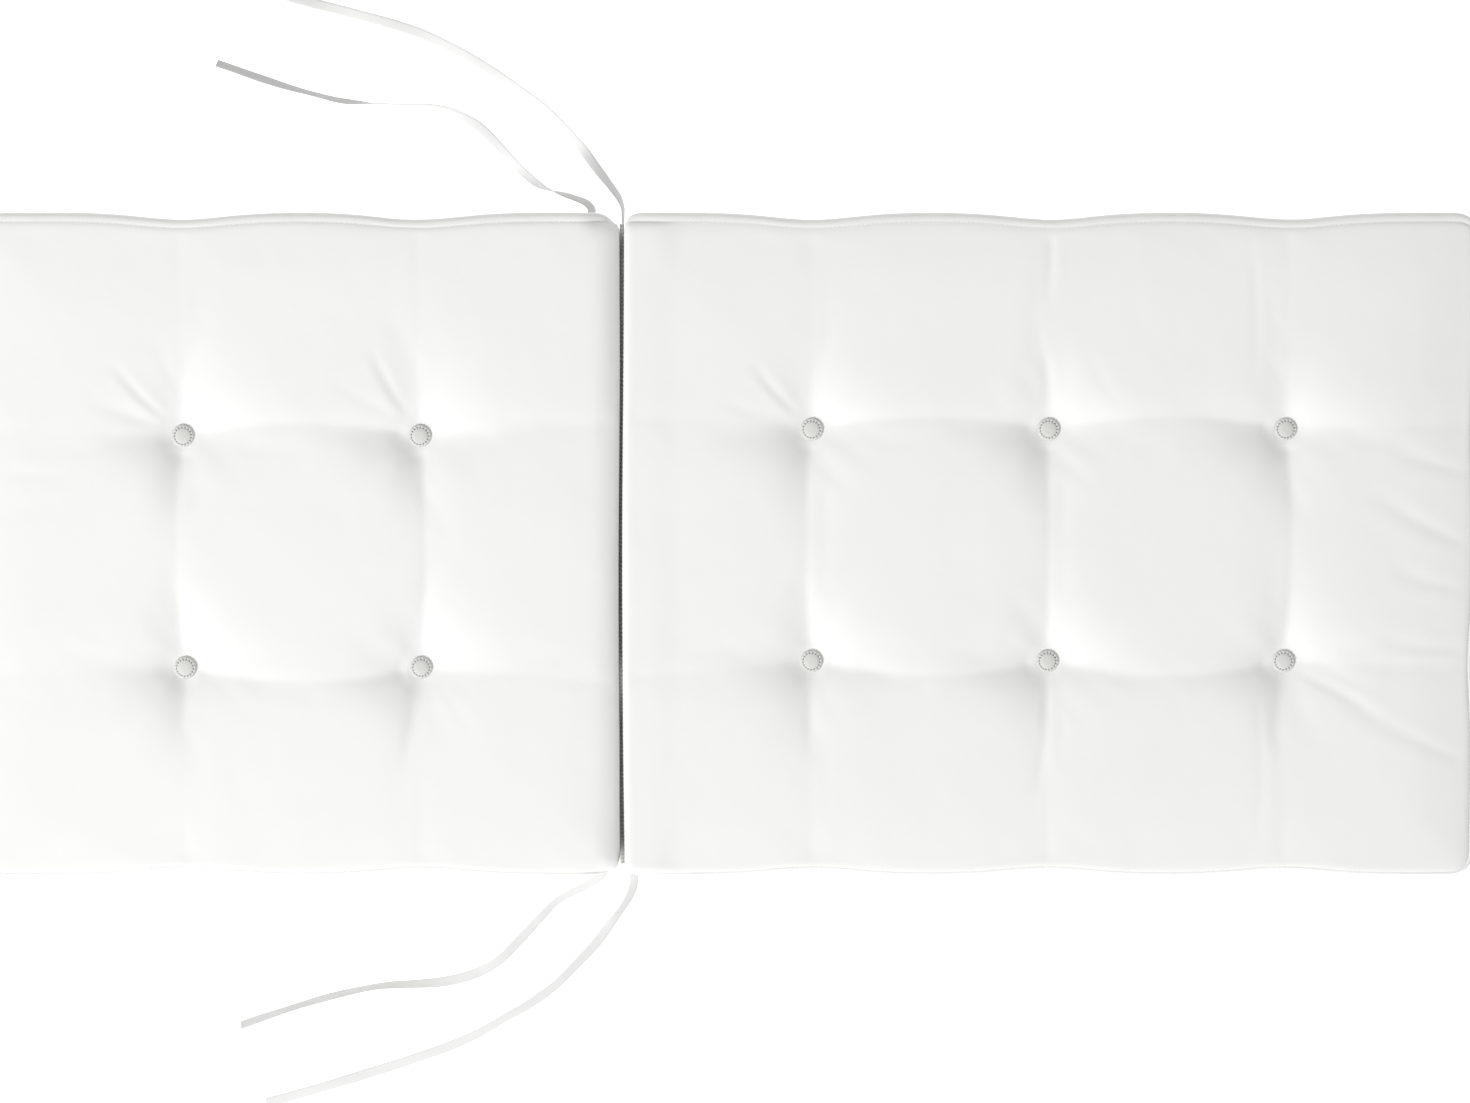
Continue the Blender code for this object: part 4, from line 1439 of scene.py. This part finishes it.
def gather_dome(piece):
    """Fine radial gathers around the dome's shoulder, fading to its crown."""
    points = read_points(piece.data)
    radius = np.hypot(points[:, 0], points[:, 1])
    angle = np.arctan2(points[:, 1], points[:, 0])
    strength = smoothstep(radius, GATHER_START, DOME_RADIUS) * GATHER_DEPTH
    wave = np.cos(BUTTON_PETALS * angle)
    points[:, 2] += strength * wave
    grown = 1 + np.where(radius > 0, strength * wave / np.maximum(radius, 1e-6), 0.0)
    points[:, :2] *= grown[:, None]
    write_points(piece.data, points)


def make_button(section, number):
    """Covered button: domed shell, petals of gathered cloth on a collar round it, shade between them."""
    node = f"{section['name']}_button_{number}"
    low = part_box(node)[0]
    centre = middle(node)
    dome = spun(node + "_dome", dome_profile(), 68, FINISHES["button_cloth"])
    gather_dome(dome)
    tuck = spun(node + "_tuck", TUCK_PROFILE, 34, FINISHES["gather_shade"])
    collar = spun(node + "_collar", COLLAR_PROFILE, 34, FINISHES["button_cloth"])
    ring = new_mesh_object(node + "_ring", [(0, 0, 0)], [])
    grow(ring, PETALS, petals=BUTTON_PETALS, ring_radius=RING_RADIUS, petal_length=0.0020,
         petal_width=0.0025, petal_height=0.0015, droop=0.15, cloth=FINISHES["button_cloth"])
    ring_points = read_points(ring.data)
    ring_points[:, 2] += RING_LIFT
    write_points(ring.data, ring_points)
    layer = ring.data.uv_layers.get("cut") or ring.data.uv_layers.new(name="cut")
    for loop in ring.data.loops:
        spot = ring.data.vertices[loop.vertex_index].co
        layer.data[loop.index].uv = (spot.x, spot.y)
    whole = join_meshes(node + "_covered", [dome, tuck, collar, ring])
    points = read_points(whole.data)
    turn = math.radians(37 * number + (0 if section["side"] < 0 else 11))
    lean = math.radians(3.0) * math.sin(2.1 * number + section["side"])
    spin = np.array([[math.cos(turn), -math.sin(turn), 0], [math.sin(turn), math.cos(turn), 0], [0, 0, 1]])
    tip = np.array([[math.cos(lean), 0, math.sin(lean)], [0, 1, 0], [-math.sin(lean), 0, math.cos(lean)]])
    points = points @ (tip @ spin).T + np.array((centre.x, centre.y, low[2] + BUTTON_LIFT))
    write_points(whole.data, points)
    ride(whole, section["name"], "button_cloth", node)


HOLE_CIRCLE = 0.0018            # the four holes' distance from the middle
HOLE_RADIUS = 0.00085
TWINE_RADIUS = 0.00038
TWINE_TOP = 0.0016


def make_under_button(section, number):
    """Moulded four-hole button on the underside, its rim proud of a dished face, twine across it."""
    node = f"{section['name']}_under_button_{number}"
    low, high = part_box(node)
    centre = middle(node)
    radius = (high[0] - low[0]) / 2
    thick = high[2] - low[2]
    profile = [
        (0.0, 0.0), (radius * 0.93, 0.0), (radius, -thick * 0.25), (radius, -thick * 0.7),
        (radius * 0.94, -thick * 0.95), (radius * 0.84, -thick), (radius * 0.74, -thick * 0.92),
        (radius * 0.62, -thick * 0.62), (0.0, -thick * 0.55),
    ]
    disc = spun(node + "_disc", list(reversed(profile)), 48, FINISHES["under_button_plastic"])
    for k in range(4):
        angle = math.radians(45 + 90 * k)
        bm = bmesh.new()
        bmesh.ops.create_cone(
            bm, cap_ends=True, segments=16, radius1=HOLE_RADIUS, radius2=HOLE_RADIUS, depth=0.01)
        spot = (HOLE_CIRCLE * math.cos(angle), HOLE_CIRCLE * math.sin(angle), 0.0)
        bmesh.ops.translate(bm, verts=bm.verts, vec=spot)
        mesh = bpy.data.meshes.new("hole")
        bm.to_mesh(mesh)
        bm.free()
        drill = bpy.data.objects.new("hole", mesh)
        bpy.context.scene.collection.objects.link(drill)
        cut = disc.modifiers.new("hole", "BOOLEAN")
        cut.operation = "DIFFERENCE"
        cut.object = drill
        settle(disc)
        bpy.data.objects.remove(drill)
    disc.data.shade_smooth()
    disc.data.set_sharp_from_angle(angle=math.radians(40))
    threads = []
    for angle in (math.radians(45), math.radians(135)):
        reach = Vector((math.cos(angle), math.sin(angle), 0.0)) * HOLE_CIRCLE
        line = [-reach + Vector((0, 0, TWINE_TOP)), -reach + Vector((0, 0, -thick * 0.60)),
                Vector((0, 0, -thick * 0.78)), reach + Vector((0, 0, -thick * 0.60)),
                reach + Vector((0, 0, TWINE_TOP))]
        threads.append(thread_tube(node + "_thread", smooth_line(line, 5), TWINE_RADIUS))
    whole = join_meshes(node + "_moulded", [disc, *threads])
    points = read_points(whole.data) + np.array((centre.x, centre.y, high[2]))
    write_points(whole.data, points)
    ride(whole, section["name"], "under_button_plastic", node)


def thread_tube(name, line, radius):
    """Short round thread with closed ends along a line."""
    verts = []
    sides = 6
    for index, point in enumerate(line):
        after = line[min(index + 1, len(line) - 1)]
        before = line[max(index - 1, 0)]
        forward = (after - before).normalized()
        side = forward.orthogonal() if index == 0 else side - forward * side.dot(forward)
        side = side.normalized()
        up = forward.cross(side)
        for step in range(sides):
            angle = 2 * math.pi * step / sides
            verts.append(point + (side * math.cos(angle) + up * math.sin(angle)) * radius)
    faces = []
    for index in range(len(line) - 1):
        for step in range(sides):
            after = (step + 1) % sides
            low = index * sides
            faces.append((low + step, low + after, low + sides + after, low + sides + step))
    faces.append(tuple(reversed(range(sides))))
    faces.append(tuple(range(len(verts) - sides, len(verts))))
    tube = new_mesh_object(name, verts, faces, FINISHES["twine_thread"])
    face_outwards(tube)
    tube.data.shade_smooth()
    return tube


def dress_hidden_nodes():
    """Plates and twines keep their own solids and take a finished surface."""
    for name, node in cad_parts.items():
        for kind, finish in (("_button_plate_", "plate_metal"), ("_twine_", "twine_thread")):
            if kind in name:
                for slot in node.material_slots:
                    slot.material = FINISHES[finish]


# ---- fold ---------------------------------------------------------------------------------------------
WEB_LOW_Z = 0.0240
WEB_RIGHT_Z = 0.0325            # its height at the pad's right-hand and left-hand edges
WEB_LEFT_Z = 0.0405
WEB_HALF = 0.0017
WEB_CLOTH = 0.0006
WEB_CREST_Y = -0.104            # where the web shows again between the ends
WEB_CREST_SHARE = 0.55
WEB_CREST_REACH = 0.020
WEB_RISE = (0.222, 0.238)       # it rises to its ends between these distances from the middle
WEB_ROWS = 250
WEB_END = 0.0075                # the web stops this far short of the pad's long edges


def web_height(y):
    """The web lies deep in the groove and rises to show at both ends and at one crest."""
    ends = smoothstep(abs(y), *WEB_RISE)
    crest = WEB_CREST_SHARE * math.exp(-(((y - WEB_CREST_Y) / WEB_CREST_REACH) ** 2))
    ripple = 0.0006 * math.sin(y * 190.0) + 0.0004 * math.sin(y * 71.0)
    high = WEB_RIGHT_Z if y > 0 else WEB_LEFT_Z
    return WEB_LOW_Z + (high - WEB_LOW_Z) * max(float(ends), crest) + ripple


def make_fold_web():
    """Strip of cloth sewn between the sections, its edges turned down against their walls."""
    across = [-1.0, -0.93, -0.55, 0.0, 0.55, 0.93, 1.0]
    drop = [0.0042, 0.0010, 0.0001, 0.0, 0.0001, 0.0010, 0.0042]
    half = HALF_WIDTH - WEB_END
    verts = []
    faces = []
    for row in range(WEB_ROWS + 1):
        y = -half + 2 * half * row / WEB_ROWS
        z = web_height(y)
        for a, d in zip(across, drop):
            verts.append((FOLD_X + fold_drift(y) + a * WEB_HALF, y, z - d))
    count = len(across)
    for row in range(WEB_ROWS):
        for step in range(count - 1):
            low = row * count + step
            faces.append((low, low + 1, low + count + 1, low + count))
    web = new_mesh_object("fold_web_strip", verts, faces, FINISHES["web_cloth"])
    layer = web.data.uv_layers.new(name="cut")
    for loop in web.data.loops:
        spot = web.data.vertices[loop.vertex_index].co
        layer.data[loop.index].uv = (spot.x - FOLD_X, spot.y)
    step = web.modifiers.new("cloth", "SOLIDIFY")
    step.thickness = WEB_CLOTH
    step.offset = -1.0
    settle(web)
    web.data.shade_smooth()
    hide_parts("fold_web")
    cross_fold(web)
    lines = []
    for share, slant in ((-0.42, 0.5), (0.42, -0.5)):
        ys = [-half + 2 * half * k / WEB_ROWS for k in range(WEB_ROWS + 1)]
        path = [(FOLD_X + share * WEB_HALF + fold_drift(y), y, web_height(y) + 0.0001) for y in ys]
        lines.append(stitch_line("web_stitches", path, False, pitch=0.0030, stitch_length=0.0021,
                                 thread_radius=0.00026, slant=slant))
    stitches = join_meshes("fold_web_stitches", lines)
    cross_fold(stitches)


def cross_fold(piece):
    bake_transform(piece)


SEAM_PITCH = 0.0036


def make_seam_stitches(section, skin):
    """Stitches that show in the seams between the panels and the side band."""
    lines = []
    for ring, lift in ((skin["rings"][0], 0.0001), (skin["rings"][-1], -0.0001)):
        corners = skin["points"][ring]
        seam = (np.roll(corners, 1, axis=0) + 4 * corners + np.roll(corners, -1, axis=0)) / 6
        points = [Vector(point) + Vector((0, 0, lift)) for point in seam]
        lines.append(stitch_line("seam_run", points, True, pitch=SEAM_PITCH, stitch_length=0.0024,
                                 thread_radius=0.0003, slant=0.12))
    stitches = join_meshes(section["name"] + "_seam_stitches", lines)
    ride(stitches, section["name"], "band_cloth")


# ---- floor and lights --------------------------------------------------------------------------
FLOOR_Z = -0.0003
FLOOR_REACH = 4.0
FLOOR_GLOW = 1.0                # the floor looks pure white,
FLOOR_BOUNCE = 0.55             # and lights the pad's sides this much


def stage_floor():
    turns = ((-1, -1), (1, -1), (1, 1), (-1, 1))
    corners = [(x * FLOOR_REACH, y * FLOOR_REACH, FLOOR_Z) for x, y in turns]
    floor = new_mesh_object("floor", corners, [(0, 1, 2, 3)])
    finish = bpy.data.materials.new("floor_white")
    finish.use_nodes = True
    shader = finish.node_tree.nodes["Principled BSDF"]
    shader.inputs["Base Color"].default_value = (0.93, 0.93, 0.93, 1.0)
    shader.inputs["Roughness"].default_value = 1.0
    shader.inputs["Specular IOR Level"].default_value = 0.0
    shader.inputs["Emission Color"].default_value = (1.0, 1.0, 1.0, 1.0)
    tree = finish.node_tree
    rays = tree.nodes.new("ShaderNodeLightPath")
    seen = rays.outputs["Is Camera Ray"]
    glow = math_node(tree, "MULTIPLY_ADD", seen, FLOOR_GLOW - FLOOR_BOUNCE, FLOOR_BOUNCE)
    tree.links.new(glow, shader.inputs["Emission Strength"])
    side = tree.nodes.new("ShaderNodeNewGeometry")
    clear = tree.nodes.new("ShaderNodeBsdfTransparent")
    choose = tree.nodes.new("ShaderNodeMixShader")
    tree.links.new(side.outputs["Backfacing"], choose.inputs[0])
    tree.links.new(shader.outputs["BSDF"], choose.inputs[1])
    tree.links.new(clear.outputs["BSDF"], choose.inputs[2])
    tree.links.new(choose.outputs["Shader"], tree.nodes["Material Output"].inputs["Surface"])
    floor.data.materials.append(finish)


KEY_PLACE = Vector((-3.74, -3.14, 5.04))
KEY_AIM = Vector((0.0, 0.0, 0.0))
KEY_SIZE = 3.1
KEY_POWER = 376.0
SKY_STRENGTH = 0.50


def light_studio():
    world = bpy.context.scene.world or bpy.data.worlds.new("studio")
    bpy.context.scene.world = world
    world.use_nodes = True
    sky = world.node_tree.nodes["Background"]
    sky.inputs["Color"].default_value = (1.0, 1.0, 1.0, 1.0)
    sky.inputs["Strength"].default_value = SKY_STRENGTH
    key = bpy.data.lights.new("key", "AREA")
    key.energy = KEY_POWER
    key.size = KEY_SIZE
    lamp = bpy.data.objects.new("key", key)
    lamp.location = KEY_PLACE
    lamp.rotation_euler = (KEY_PLACE - KEY_AIM).to_track_quat("Z", "Y").to_euler()
    bpy.context.scene.collection.objects.link(lamp)
    bpy.context.scene.view_settings.view_transform = "Standard"
    bpy.context.scene.view_settings.look = "None"


# ---- assembly ---------------------------------------------------------------------------------
place_camera()
for tie_name in TIE_ROUTES:
    make_tie(tie_name)
for section in SECTIONS.values():
    cover = make_cover(section)
    make_seam_stitches(section, cover)
    for button_number in range(1, section["tufts"] + 1):
        make_button(section, button_number)
        make_under_button(section, button_number)
make_fold_web()
dress_hidden_nodes()
stage_floor()
light_studio()
